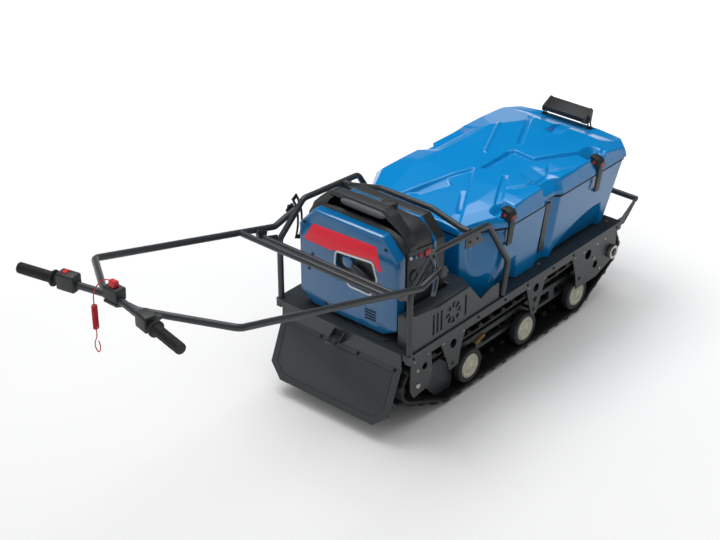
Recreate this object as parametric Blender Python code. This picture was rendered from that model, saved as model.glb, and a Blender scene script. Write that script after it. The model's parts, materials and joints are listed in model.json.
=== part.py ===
"""Tracked snow tug: a walk-behind towing machine on one wide rubber track.

Metres, +Z up, +X the way it drives, +Y its left. Lengths along X are measured from the rear posts
of the roll frame, and one empty then carries every piece so that the middle of the whole machine
stands over the origin with its track on z = 0.
"""

import math

import bmesh
import bpy
from mathutils import Matrix, Vector

# Fits
GAP = 0.0003              # between two pieces that touch
RUNNING = 0.0004          # round a shaft in its bore

# Track: one closed rubber belt with a cross lug at every pitch
BELT_WIDTH = 0.500
BELT_THICK = 0.010
LUG_HEIGHT = 0.016
LUG_PITCH = 0.060
LUG_FOOT = 0.022
LUG_TIP = 0.012
TOP_SAG = 0.016
IDLER_AT = (0.047, 0.157)
IDLER_R = 0.0547
SPROCKET_AT = (1.103, 0.183)
SPROCKET_R = 0.0557
WHEEL_R = 0.059
WHEEL_X = (0.330, 0.628, 0.926)
SHOE_X = 0.215
WHEEL_Z = LUG_HEIGHT + BELT_THICK + GAP + WHEEL_R

# Side rails, with the hangers that go down outside the belt
RAIL_IN = 0.2535
RAIL_OUT = 0.2715
RAIL_LOW = 0.262
RAIL_TOP = 0.292
RAIL_REAR = -0.0125
RAIL_FRONT = 1.135
HANGER_OUT = 0.2575
DECK_TOP = RAIL_TOP
DECK_THICK = 0.003

# Carriages inside the belt
CARRIAGE_IN = 0.200
CARRIAGE_OUT = 0.216
RUNNER_LOW = 0.098
RUNNER_TOP = 0.112
BEAM_LOW = 0.142
BEAM_TOP = 0.160
HANGER_PIN_Z = 0.1515
HANGER_PIN_R = 0.006
AXLE_R = 0.009
SHAFT_R = 0.012
MOTOR_AT = (0.655, 0.140)
MOTOR_R = 0.045

# Roll frame round the generator
CAGE_Y = 0.2615
CAGE_R = 0.010
CAGE_LINE = ((0.0, 0.282), (0.0, 0.500), (0.111, 0.599), (0.371, 0.583), (0.485, 0.410),
             (0.460, 0.282))
CAGE_BEND = 0.028
ARCH_X = 0.294
ARCH_TOP = 0.617
ARCH_HALF = 0.101

# Handle frame and its pivot
PIVOT_X = -0.060
PIVOT_Z = 0.526
PIVOT_TUBE_R = 0.010
ARM_Y = 0.292
ARM_R = 0.0105
ARM_BEND = 0.035
EAR_IN = 0.275            # inner face of the pivot ears
KNOB_AT = (0.103, 0.553)
HANDLE_DOWN = 15.0        # degrees that the handlebar drops and rises
HANDLE_UP = 25.0
CROSSBAR_X = -0.145
BAR_Z = 0.790
BAR_R = 0.0105
BAR_MID = (-0.892, 0.040)
BAR_END = (-0.948, 0.305)
BAR_BEND = 0.060
GRIP_R = 0.016
GRIP_LENGTH = 0.120
KILL_TOP = BAR_Z + 0.033
QUADRANT_Y = CAGE_Y + CAGE_R + GAP
QUADRANT_THICK = 0.003
SLOT_HALF = 0.0048

# Generator
GEN_REAR = 0.018
GEN_SPLIT_REAR = 0.055
GEN_SPLIT_FRONT = 0.190
GEN_FRONT = 0.252
GEN_LOW = 0.305
GEN_TOP = 0.640
GEN_HALF = 0.197
GEN_CORNER_Z = 0.577
GEN_CORNER_Y = 0.137

# Cargo box and lid
BOX_LOW = RAIL_TOP + GAP
BOX_RIM = 0.535
BOX_WALL = 0.006
BOX_MIDDLE = 0.392        # height up to which the arches reach
GROOVE_RIM = 0.243        # half width at the strap grooves, at the rim and at the foot
GROOVE_FOOT = 0.214
LID_LIP = 0.268
LID_SKIRT = 0.028
LID_WALL = 0.005
LID_CEILING = 0.0205      # height of the double-walled lid's inner face over the seam
LID_NOSE = 0.574          # flat front of the lid, where the lamp stands
HINGE_Y = 0.2745
HINGE_Z = 0.540
HINGE_R = 0.0055
HINGE_SPAN = (0.500, 1.050)
LATCH_X = (0.484, 0.972)

# Bumper, flap, lamp
BUMPER_X = 1.245
BUMPER_Z = 0.330
BUMPER_R = 0.010
BUMPER_HALF = 0.260
FLAP_TOP = (-0.0145, 0.243)
FLAP_FOOT = (-0.090, 0.054)
FLAP_THICK = 0.004
LAMP_AT = (1.172, 0.613)
LAMP_HALF = 0.082
LAMP_FINS = 13

# The lanyard's route, chosen by hand, hangs from the kill switch behind the bar
LANYARD_R = 0.0016
COIL_R = 0.0085
LANYARD_AT = (-0.921, 0.045)
COIL_TOP = 0.768
COIL_FOOT = 0.690
LOOP_TOP = 0.662
LOOP_FOOT = 0.622

BAR_LEAN = math.atan2(BAR_MID[0] - BAR_END[0], BAR_END[1] - BAR_MID[1])
REAR_END = BAR_END[0] - GRIP_R * math.cos(BAR_LEAN) - GAP * math.sin(BAR_LEAN)
ORIGIN_X = (BUMPER_X + BUMPER_R + REAR_END) / 2

RUBBER = ("track_rubber", (0.013, 0.013, 0.014), 0.75, 0.0)
STEEL = ("powder_coated_steel", (0.024, 0.028, 0.031), 0.5, 0.3)
BRIGHT = ("zinc_steel", (0.45, 0.45, 0.43), 0.35, 0.9)
BLUE = ("blue_polyethylene", (0.0, 0.23, 0.66), 0.45, 0.0)
SHELL = ("blue_shell", (0.01, 0.12, 0.33), 0.35, 0.0)
BLACK = ("black_plastic", (0.012, 0.012, 0.013), 0.45, 0.0)
RED = ("red_plastic", (0.6, 0.02, 0.03), 0.4, 0.0)
LAMP = ("lamp_alloy", (0.03, 0.03, 0.033), 0.45, 0.6)


def clear_scene():
    for thing in list(bpy.data.objects):
        bpy.data.objects.remove(thing, do_unlink=True)


def look(kind):
    """The material of one kind, made once."""
    name, colour, roughness, metallic = kind
    made = bpy.data.materials.get(name)
    if made is None:
        made = bpy.data.materials.new(name)
        made.use_nodes = True
        shader = made.node_tree.nodes["Principled BSDF"]
        shader.inputs["Base Color"].default_value = (*colour, 1.0)
        shader.inputs["Roughness"].default_value = roughness
        shader.inputs["Metallic"].default_value = metallic
    return made


def finished(name, bm, kind, parent):
    """One named piece from a bmesh, under the empty that carries it."""
    bmesh.ops.recalc_face_normals(bm, faces=bm.faces)
    mesh = bpy.data.meshes.new(name)
    bm.to_mesh(mesh)
    bm.free()
    piece = bpy.data.objects.new(name, mesh)
    bpy.context.scene.collection.objects.link(piece)
    piece.data.materials.append(look(kind))
    piece.data.shade_smooth()
    piece.data.set_sharp_from_angle(angle=math.radians(32))
    piece.parent = parent
    return piece


def fused(bodies, cuts=()):
    """One bmesh: the first body with the others joined to it and the cutters taken out."""
    made = []
    for number, bm in enumerate((*bodies, *cuts)):
        bmesh.ops.recalc_face_normals(bm, faces=bm.faces)
        mesh = bpy.data.meshes.new(f"operand_{number}")
        bm.to_mesh(mesh)
        bm.free()
        thing = bpy.data.objects.new(f"operand_{number}", mesh)
        bpy.context.scene.collection.objects.link(thing)
        made.append(thing)
    for number, thing in enumerate(made[1:], start=1):
        step = made[0].modifiers.new(f"step_{number}", "BOOLEAN")
        step.operation = "UNION" if number < len(bodies) else "DIFFERENCE"
        step.solver = "EXACT"
        step.object = thing
    bpy.context.view_layer.update()
    seen = made[0].evaluated_get(bpy.context.evaluated_depsgraph_get())
    bm = bmesh.new()
    bm.from_mesh(seen.to_mesh())
    seen.to_mesh_clear()
    for thing in made:
        mesh = thing.data
        bpy.data.objects.remove(thing, do_unlink=True)
        bpy.data.meshes.remove(mesh)
    bmesh.ops.remove_doubles(bm, verts=bm.verts, dist=0.000005)
    return bm


def circle(centre, radius, steps=16, start=0.0):
    """A loop of 2-D points."""
    return [
        (centre[0] + radius * math.cos(start + math.tau * i / steps),
         centre[1] + radius * math.sin(start + math.tau * i / steps))
        for i in range(steps)
    ]


def arc(centre, radius, first, last, steps):
    """Points along an arc, angles in degrees, both ends in it."""
    return [
        (centre[0] + radius * math.cos(math.radians(first + (last - first) * i / steps)),
         centre[1] + radius * math.sin(math.radians(first + (last - first) * i / steps)))
        for i in range(steps + 1)
    ]


def rectangle(low_u, high_u, low_v, high_v):
    return [(low_u, low_v), (high_u, low_v), (high_u, high_v), (low_u, high_v)]


def rounded(loop, radius, steps=3):
    """The loop with each of its corners rounded to one radius."""
    points = [Vector((*p, 0.0)) for p in loop]
    out = []
    for i, corner in enumerate(points):
        before = (points[i - 1] - corner).normalized()
        after = (points[(i + 1) % len(points)] - corner).normalized()
        out += [tuple(p.xy) for p in bend(corner, before, after, radius, steps)]
    return out


def bend(corner, before, after, radius, steps):
    """Points round one corner between two unit directions that leave it."""
    half = before.angle(after) / 2
    if half > math.radians(89):
        return [corner]
    reach = radius / math.tan(half)
    centre = corner + (before + after).normalized() * (radius / math.sin(half))
    first = corner + before * reach - centre
    last = corner + after * reach - centre
    turn = first.angle(last)
    return [
        centre + (first * math.sin(turn * (1 - i / steps)) + last * math.sin(turn * i / steps))
        / math.sin(turn)
        for i in range(steps + 1)
    ]


# Each axis of extrusion with the place of its u, v and depth among x, y, z
PLANES = {"X": lambda u, v, d: (d, u, v), "Y": lambda u, v, d: (u, d, v), "Z": lambda u, v, d: (u, v, d)}


def prism(axis, loop, low, high, holes=()):
    """A flat outline with holes, drawn across one axis and extruded along it from low to high."""
    place = PLANES[axis]
    bm = bmesh.new()
    edges = []
    for ring in (loop, *holes):
        verts = [bm.verts.new(place(u, v, low)) for u, v in ring]
        edges += [bm.edges.new((verts[i - 1], verts[i])) for i in range(len(verts))]
    if holes:
        faces = [
            f for f in bmesh.ops.triangle_fill(bm, edges=edges, use_beauty=True)["geom"]
            if isinstance(f, bmesh.types.BMFace)
        ]
    else:
        faces = [bm.faces.new(bm.verts)]
    raised = bmesh.ops.extrude_face_region(bm, geom=faces)["geom"]
    shift = Vector(place(0.0, 0.0, high - low))
    bmesh.ops.translate(bm, vec=shift, verts=[v for v in raised if isinstance(v, bmesh.types.BMVert)])
    return bm


def turned(profile, axis, centre, steps=20):
    """A profile of (radius, station) pairs turned round X, Y or Z through the centre."""
    across = {"X": lambda r, s: (s, r, 0.0), "Y": lambda r, s: (0.0, s, r), "Z": lambda r, s: (r, 0.0, s)}
    place = across[axis]
    bm = bmesh.new()
    verts = [bm.verts.new(Vector(place(r, s)) + Vector(centre)) for r, s in profile]
    edges = [bm.edges.new((a, b)) for a, b in zip(verts, verts[1:])]
    if profile[0][0] > 0:
        edges.append(bm.edges.new((verts[-1], verts[0])))
    bmesh.ops.spin(
        bm, geom=verts + edges, cent=centre, axis=PLANES[axis](0.0, 0.0, 1.0), angle=math.tau,
        steps=steps, use_merge=True, use_duplicate=False)
    bmesh.ops.remove_doubles(bm, verts=bm.verts, dist=0.00001)
    return bm


def swept(points, radius, corner=0.0, detail=3, steps=4):
    """A round tube along a line of 3-D points whose corners are bent to one radius."""
    line = [Vector(p) for p in points]
    path = [line[0]]
    for before, here, after in zip(line, line[1:], line[2:]):
        if corner > 0:
            path += bend(here, (before - here).normalized(), (after - here).normalized(), corner, steps)
        else:
            path.append(here)
    path.append(line[-1])
    curve = bpy.data.curves.new("sweep", "CURVE")
    curve.dimensions = "3D"
    curve.bevel_depth = radius
    curve.bevel_resolution = detail
    curve.use_fill_caps = True
    spline = curve.splines.new("POLY")
    spline.points.add(len(path) - 1)
    for point, place in zip(spline.points, path):
        point.co = (*place, 1.0)
    thing = bpy.data.objects.new("sweep", curve)
    bpy.context.scene.collection.objects.link(thing)
    bpy.context.view_layer.update()
    seen = thing.evaluated_get(bpy.context.evaluated_depsgraph_get())
    bm = bmesh.new()
    bm.from_mesh(seen.to_mesh())
    seen.to_mesh_clear()
    bpy.data.objects.remove(thing, do_unlink=True)
    bpy.data.curves.remove(curve)
    bmesh.ops.remove_doubles(bm, verts=bm.verts, dist=0.00001)
    return bm


def rod(start, end, radius, steps=12):
    """A plain round bar between two points."""
    return swept((start, end), radius, detail=max(steps // 2 - 2, 1) // 2 + 1)


def outward(side, low, high):
    """Two distances from the middle plane as a low and a high y on one side."""
    return (low, high) if side > 0 else (-high, -low)


SIDES = (("left", 1), ("right", -1))


def belt_line():
    """The belt's outer face as a closed run of points: three tangents, three arcs and a sagging top."""
    outer = BELT_THICK + GAP
    wheels = (
        (IDLER_AT, IDLER_R + outer),
        ((SHOE_X, WHEEL_Z), WHEEL_R + outer),
        ((WHEEL_X[-1], WHEEL_Z), WHEEL_R + outer),
        (SPROCKET_AT, SPROCKET_R + outer),
    )
    touch = []
    for (a, ra), (b, rb) in zip(wheels, (*wheels[1:], wheels[0])):
        along = math.atan2(b[1] - a[1], b[0] - a[0])
        lean = math.asin((rb - ra) / math.dist(a, b))
        touch.append(along - math.pi / 2 - lean)
    points = []
    for i, (centre, radius) in enumerate(wheels):
        first, last = touch[i - 1], touch[i]
        while last < first:
            last += math.tau
        points += [
            (centre[0] + radius * math.cos(first + (last - first) * k / 24),
             centre[1] + radius * math.sin(first + (last - first) * k / 24))
            for k in range(25)
        ]
    start, end = points[-1], points[0]
    for k in range(1, 24):
        share = k / 24
        points.append((
            start[0] + (end[0] - start[0]) * share,
            start[1] + (end[1] - start[1]) * share - TOP_SAG * 4 * share * (1 - share)))
    return points


def belt_samples(count_per_lug):
    """Places and outward normals at even steps along the belt, a whole number of them to each lug."""
    line = belt_line()
    lengths = [math.dist(line[i - 1], line[i]) for i in range(len(line))]
    total = sum(lengths)
    lugs = round(total / LUG_PITCH)
    samples = []
    for n in range(lugs):
        for share in count_per_lug:
            samples.append(((n + 0.5) * total / lugs + share, share))
    out = []
    for distance, share in samples:
        left = distance % total
        i = 0
        while left > lengths[(i + 1) % len(line)]:
            i += 1
            left -= lengths[i % len(line)]
        a, b = Vector(line[i % len(line)]), Vector(line[(i + 1) % len(line)])
        run = (b - a).normalized()
        out.append((a + run * left, Vector((run.y, -run.x)), share))
    return out


def make_track(parent):
    """The belt with its lugs, one outline extruded over the whole width."""
    foot, tip = LUG_FOOT / 2, LUG_TIP / 2
    outer = []
    for place, normal, share in belt_samples((-foot, -tip, tip, foot, LUG_PITCH / 2)):
        height = LUG_HEIGHT if abs(share) == tip else 0.0
        outer.append(tuple(place + normal * height))
    sixths = [LUG_PITCH * n / 6 for n in range(6)]
    inner = [tuple(place - normal * BELT_THICK) for place, normal, _ in belt_samples(sixths)]
    bm = prism("Y", outer, -BELT_WIDTH / 2, BELT_WIDTH / 2, holes=(inner,))
    finished("track", bm, RUBBER, parent)


def make_rails(parent):
    """Each side rail with its three hangers, the front bearing plate and the rear tensioner plate."""
    # Plates: outline, holes as (x, z, radius), pin places
    hangers = (
        ([(0.150, 0.268), (0.290, 0.268), (0.262, 0.200), (0.250, 0.138), (0.205, 0.134), (0.190, 0.180)],
         [(0.222, 0.226, 0.016)], (0.225,)),
        ([(0.600, 0.268), (0.720, 0.268), (0.690, 0.190), (0.668, 0.134), (0.640, 0.134)],
         [(0.660, 0.232, 0.015), (0.657, 0.190, 0.010)], (0.654,)),
        ([(0.860, 0.268), (1.128, 0.268), (1.134, 0.200), (1.120, 0.150), (1.020, 0.118), (0.900, 0.120),
          (0.890, 0.180)],
         [(SPROCKET_AT[0], SPROCKET_AT[1], SHAFT_R + RUNNING), (0.962, 0.228, 0.018), (1.010, 0.170, 0.014)],
         (0.920,)),
        ([(0.014, 0.268), (0.110, 0.268), (0.120, 0.180), (0.100, 0.130), (0.030, 0.120), (0.012, 0.150)],
         [(IDLER_AT[0], IDLER_AT[1], AXLE_R + RUNNING), (0.082, 0.212, 0.012)], ()),
    )
    for name, side in SIDES:
        channel = rectangle(*outward(side, RAIL_IN, RAIL_OUT), RAIL_LOW, RAIL_TOP)
        bodies = [prism("X", channel, RAIL_REAR, RAIL_FRONT)]
        for outline, holes, pins in hangers:
            bores = [circle((x, z), radius, 14) for x, z, radius in holes]
            bodies.append(prism("Y", outline, *outward(side, RAIL_IN, HANGER_OUT), holes=bores))
            for x in pins:
                start = (x, side * (CARRIAGE_OUT + GAP), HANGER_PIN_Z)
                bodies.append(rod(start, (x, side * (HANGER_OUT + 0.004), HANGER_PIN_Z), HANGER_PIN_R))
        finished(f"rail_{name}", fused(bodies), STEEL, parent)


def make_deck(parent):
    """The folded tunnel deck between the rails, and the cross member under its rear edge."""
    half = RAIL_IN - GAP
    sheet = DECK_THICK
    lip = DECK_TOP - 0.016
    outline = [
        (-half, lip), (-half + sheet, lip), (-half + sheet, DECK_TOP - sheet),
        (half - sheet, DECK_TOP - sheet),
        (half - sheet, lip), (half, lip), (half, DECK_TOP), (-half, DECK_TOP),
    ]
    bodies = [
        prism("X", outline, RAIL_REAR, RAIL_FRONT),
        prism("X", rectangle(-half, half, 0.2700, DECK_TOP - 0.001), RAIL_REAR, RAIL_REAR + 0.012),
    ]
    finished("deck", fused(bodies), STEEL, parent)


def make_carriages(parent):
    """Inside the belt on each side: runner, beam and bosses cut from one plate, with a shoe behind."""
    lower = [(0.090, RUNNER_TOP), (0.090, RUNNER_LOW + 0.004), (0.140, RUNNER_LOW - 0.014)]
    lower += arc((SHOE_X, WHEEL_Z), WHEEL_R - GAP, 215, 270, 6)
    lower += [(0.265, LUG_HEIGHT + BELT_THICK + 2 * GAP), (0.285, RUNNER_LOW)]
    boss = 0.018
    for x in WHEEL_X:
        lower += [(x - boss, RUNNER_LOW)] + arc((x, WHEEL_Z), boss, 180, 360, 8) + [(x + boss, RUNNER_LOW)]
    outline = lower + [(0.975, RUNNER_LOW), (0.955, BEAM_TOP), (0.180, BEAM_TOP), (0.130, RUNNER_TOP + 0.012)]
    windows = [
        rectangle(low, high, RUNNER_TOP, BEAM_LOW)
        for low, high in ((0.255, 0.395), (0.425, 0.625), (0.685, 0.800), (0.830, 0.890))
    ]
    bores = [circle((x, WHEEL_Z), AXLE_R + RUNNING, 14) for x in WHEEL_X]
    for name, side in SIDES:
        bm = prism("Y", outline, *outward(side, CARRIAGE_IN, CARRIAGE_OUT), holes=(*windows, *bores))
        finished(f"carriage_{name}", bm, STEEL, parent)


def make_running_gear(parent):
    """Three axles with a rubber-tyred wheel at each end, the idler axle and the drive axle."""
    # Outer half of an axle: radius, distance from the middle plane
    wheel = ((0.0, 0.2480), (0.012, 0.2480), (0.014, 0.2410), (0.034, 0.2410), (0.038, 0.2470),
             (0.054, 0.2475), (WHEEL_R, 0.2430), (WHEEL_R, 0.2270), (0.054, 0.2220), (0.020, 0.2220),
             (0.016, 0.2170), (AXLE_R, 0.2170))
    idler = ((0.0, 0.2620), (AXLE_R, 0.2620), (AXLE_R, 0.1700), (0.020, 0.1700), (0.022, 0.1640),
             (0.048, 0.1640), (IDLER_R, 0.1600), (IDLER_R, 0.1400), (0.048, 0.1360), (0.022, 0.1360),
             (0.020, 0.1300), (AXLE_R, 0.1300))
    for number, x in enumerate(WHEEL_X, start=1):
        bm = turned([*wheel, *((r, -y) for r, y in reversed(wheel))], "Y", (x, 0.0, WHEEL_Z))
        finished(f"wheel_axle_{number}", bm, RUBBER, parent)
    place = (IDLER_AT[0], 0.0, IDLER_AT[1])
    profile = [*idler, *((r, -y) for r, y in reversed(idler))]
    finished("idler_axle", turned(profile, "Y", place), RUBBER, parent)
    make_drive_axle(parent)


def make_drive_axle(parent):
    """The drive shaft with two toothed sprockets and a bearing collar outside each plate."""
    teeth = 9
    root = SPROCKET_R - 0.012
    outline = []
    for tooth in range(teeth):
        for share, radius in ((0.0, root), (0.32, root), (0.44, SPROCKET_R), (0.88, SPROCKET_R)):
            turn = math.tau * (tooth + share) / teeth
            outline.append((SPROCKET_AT[0] + radius * math.cos(turn),
                            SPROCKET_AT[1] + radius * math.sin(turn)))
    half = ((0.0, 0.2760), (SHAFT_R - 0.002, 0.2760), (SHAFT_R - 0.002, 0.2700), (0.024, 0.2700),
            (0.024, 0.2580), (SHAFT_R, 0.2580))
    profile = [*half, *((r, -y) for r, y in reversed(half))]
    shaft = turned(profile, "Y", (SPROCKET_AT[0], 0.0, SPROCKET_AT[1]), 18)
    bodies = [shaft]
    for low, high in ((-0.118, -0.090), (0.090, 0.118)):
        bodies.append(prism("Y", outline, low, high))
    finished("drive_axle", fused(bodies), STEEL, parent)


def make_motor(parent):
    """The drive motor, one plain cylinder bolted between the carriages."""
    half = CARRIAGE_IN - GAP
    profile = [(0.0, -half), (MOTOR_R, -half), (MOTOR_R, half), (0.0, half)]
    finished("drive_motor", turned(profile, "Y", (MOTOR_AT[0], 0.0, MOTOR_AT[1]), 24), BLACK, parent)


def make_cage(parent):
    """The roll frame: one bent tube on each side and the arch over the front of the generator."""
    for name, side in SIDES:
        line = [(x, side * CAGE_Y, z) for x, z in CAGE_LINE]
        plan = rectangle(-0.1, 0.6, side * CAGE_Y - 0.05, side * CAGE_Y + 0.05)
        below = prism("Z", plan, 0.2, RAIL_TOP + GAP)
        tube = swept(line, CAGE_R, CAGE_BEND, steps=5)
        finished(f"cage_{name}", fused([tube], [below]), STEEL, parent)
    before, after = CAGE_LINE[2], CAGE_LINE[3]
    share = (ARCH_X - before[0]) / (after[0] - before[0])
    foot_z = before[1] + (after[1] - before[1]) * share
    foot_y = CAGE_Y - CAGE_R - GAP
    line = [
        (ARCH_X, -foot_y, foot_z), (ARCH_X, -foot_y + 0.030, foot_z), (ARCH_X, -ARCH_HALF, ARCH_TOP),
        (ARCH_X, ARCH_HALF, ARCH_TOP), (ARCH_X, foot_y - 0.030, foot_z), (ARCH_X, foot_y, foot_z),
    ]
    finished("cage_arch", swept(line, CAGE_R, 0.022), STEEL, parent)


def make_pivot(parent):
    """The fixed cross tube that the handle turns on, with a gusset to each post."""
    half = EAR_IN - GAP
    bodies = [rod((PIVOT_X, -half, PIVOT_Z), (PIVOT_X, half, PIVOT_Z), PIVOT_TUBE_R, 12)]
    behind = -CAGE_R - GAP
    for _, side in SIDES:
        plate = [(PIVOT_X, PIVOT_Z - 0.008), (behind, 0.480), (behind, 0.498), (behind, 0.520),
                 (PIVOT_X, PIVOT_Z + 0.009)]
        bodies.append(prism("Y", plate, *outward(side, CAGE_Y - 0.0025, CAGE_Y + 0.0025)))
    finished("pivot_tube", fused(bodies), STEEL, parent)


def make_quadrants(parent):
    """On each side a plate whose curved slot holds the knob bolt of the handle frame."""
    reach = math.dist((PIVOT_X, PIVOT_Z), KNOB_AT)
    rest = math.degrees(math.atan2(KNOB_AT[1] - PIVOT_Z, KNOB_AT[0] - PIVOT_X))
    low = rest - HANDLE_UP - 3.0
    high = rest + HANDLE_DOWN + 3.0
    centre = (PIVOT_X, PIVOT_Z)
    slot = arc(centre, reach + SLOT_HALF, low, high, 10) + arc(centre, reach - SLOT_HALF, high, low, 10)
    edge = 0.013
    outline = arc(centre, reach + edge, low - 5.0, high + 5.0, 10)
    outline += arc(centre, reach - edge, high + 5.0, low - 5.0, 10)
    for name, side in SIDES:
        plate = prism("Y", outline, *outward(side, QUADRANT_Y, QUADRANT_Y + QUADRANT_THICK), holes=(slot,))
        finished(f"quadrant_{name}", plate, STEEL, parent)


def make_pannier(parent):
    """On the right side only: the black cover beside the generator and the cut steel plate outside it."""
    inner, outer, wide = -GEN_HALF - 0.006, -0.262, -0.130
    behind, middle, front = 0.012, GEN_FRONT + 0.004, 0.318
    outline = [(behind, outer), (front - 0.030, outer), (front, outer + 0.045), (front, wide), (middle, wide),
               (middle, inner), (behind, inner)]
    low = RAIL_TOP + GAP
    cover = eased(prism("Z", rounded(outline, 0.005, 2), low, 0.404), 2, 0.404, 0.004)
    finished("pannier_cover", cover, BLACK, parent)
    edge = [(0.0115, low), (0.440, low), (0.440, 0.352), (0.400, 0.352), (0.345, 0.334), (0.286, 0.404),
            (0.139, 0.400), (0.0115, 0.420)]
    hub = (0.205, 0.350)
    slots = [rounded(rectangle(x, x + 0.010, 0.312, 0.384), 0.004, 2) for x in (0.104, 0.123, 0.142, 0.262)]
    spokes = [arc(hub, 0.036, turn - 15, turn + 15, 2) + arc(hub, 0.017, turn + 12, turn - 12, 1)
              for turn in range(0, 360, 45)]
    plate = prism("Y", edge, -0.2655, -0.2625, holes=(*slots, *spokes))
    finished("side_plate", plate, STEEL, parent)


def generator_outline(inset=0.0):
    """Half of the generator's end outline, mirrored: flat foot, upright side, chamfered shoulder."""
    half = GEN_HALF - inset
    right = [
        (half - 0.055, GEN_LOW + inset), (half, GEN_LOW + 0.030), (half, GEN_CORNER_Z - inset / 2),
        (GEN_CORNER_Y, GEN_TOP - inset),
    ]
    return rounded(right + [(-y, z) for y, z in reversed(right)], 0.010 - inset / 2, 2)


def eased(bm, axis, level, width):
    """The block with the rim at one level along an axis turned into a double chamfer."""
    rim = [edge for edge in bm.edges if all(abs(vert.co[axis] - level) < 1e-6 for vert in edge.verts)]
    bmesh.ops.bevel(bm, geom=rim, offset=width, segments=2, profile=0.6, affect="EDGES")
    return bm


def make_generator(parent):
    """Rear shell, black middle, front shell, carrying arch and filler cap."""
    recess = rounded([(0.046, 0.529), (0.050, 0.480), (-0.010, 0.426), (-0.094, 0.426), (-0.119, 0.487),
                      (-0.101, 0.541)], 0.014, 3)
    vents = [rectangle(-0.113, -0.071, z, z + 0.0045) for z in (0.340, 0.350, 0.360, 0.370)]
    depth = GEN_REAR + 0.014
    cuts = [prism("X", loop, GEN_REAR - 0.01, depth) for loop in (recess, *vents)]
    rear = eased(prism("X", generator_outline(), GEN_REAR, GEN_SPLIT_REAR - GAP), 0, GEN_REAR, 0.011)
    finished("gen_rear_shell", fused([rear], cuts), SHELL, parent)
    core = prism("X", generator_outline(0.006), GEN_SPLIT_REAR, GEN_SPLIT_FRONT)
    finished("gen_core", core, BLACK, parent)
    front = eased(prism("X", generator_outline(), GEN_SPLIT_FRONT + GAP, GEN_FRONT), 0, GEN_FRONT, 0.011)
    finished("gen_front_shell", front, SHELL, parent)
    seat = GEN_TOP - 0.006 + GAP
    top = seat + 0.060
    arch = [(-0.130, seat), (-0.100, top), (0.100, top), (0.130, seat), (0.104, seat), (0.084, top - 0.024),
            (-0.084, top - 0.024), (-0.104, seat)]
    finished("gen_handle", prism("X", arch, 0.066, 0.126), BLACK, parent)
    cap = [(0.0, seat), (0.026, seat), (0.026, seat + 0.016), (0.022, seat + 0.020), (0.0, seat + 0.020)]
    finished("fuel_cap", turned(cap, "Z", (0.159, -0.045, 0.0), 18), BLACK, parent)


def make_tray(parent):
    """The folded tray under the generator, with four rubber feet fused to it."""
    outline = [(0.043, 0.180), (0.250, 0.180), (0.250, -0.185), (0.070, -0.185), (0.007, -0.157),
               (-0.005, -0.091), (0.046, -0.007), (0.043, 0.069)]
    low = DECK_TOP + GAP
    bodies = [prism("Z", outline, low, low + 0.004)]
    for x in (0.075, 0.225):
        for y in (-0.115, 0.115):
            bodies.append(rod((x, y, low + 0.001), (x, y, GEN_LOW - GAP), 0.016, 12))
    finished("tray", fused(bodies), STEEL, parent)


def mirrored(half):
    """A closed loop from the points of its left half, rear to front."""
    return list(half) + [(x, -y) for x, y in reversed(half)]


def inset(loop, distance):
    """The loop moved inwards by one distance, its corners mitred."""
    points = [Vector(p) for p in loop]
    area = sum(a.x * b.y - b.x * a.y for a, b in zip(points, points[1:] + points[:1]))
    turn = 1 if area > 0 else -1
    out = []
    for i, here in enumerate(points):
        one = (here - points[i - 1]).normalized()
        two = (points[(i + 1) % len(points)] - here).normalized()
        normal_one = Vector((-one.y, one.x)) * turn
        normal_two = Vector((-two.y, two.x)) * turn
        out.append(tuple(here + (normal_one + normal_two) * (distance / (1 + normal_one.dot(normal_two)))))
    return out


# The lid's stations: x, half width at the lip, then half width and height of shoulder and crest
LID_STATIONS = (
    (0.322, 0.190, 0.180, 0.566, 0.120, 0.572),
    (0.377, 0.212, 0.200, 0.569, 0.130, 0.579),
    (0.470, LID_LIP, 0.235, 0.574, 0.150, 0.592),
    (0.560, LID_LIP, 0.236, 0.588, 0.150, 0.604),
    (0.656, LID_LIP, 0.236, 0.590, 0.150, 0.608),
    (0.690, 0.252, 0.216, 0.572, 0.140, 0.606),
    (0.747, 0.252, 0.216, 0.572, 0.140, 0.606),
    (0.764, LID_LIP, 0.228, 0.568, 0.130, 0.606),
    (0.950, LID_LIP, 0.228, 0.568, 0.130, 0.606),
    (0.964, LID_LIP, 0.236, 0.588, 0.150, 0.606),
    (1.060, LID_LIP, 0.234, 0.582, 0.150, 0.600),
    (1.136, LID_LIP, 0.222, 0.568, 0.140, LID_NOSE),
    (1.192, 0.218, 0.200, 0.564, 0.120, LID_NOSE),
)
SEAM = BOX_RIM + GAP


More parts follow.
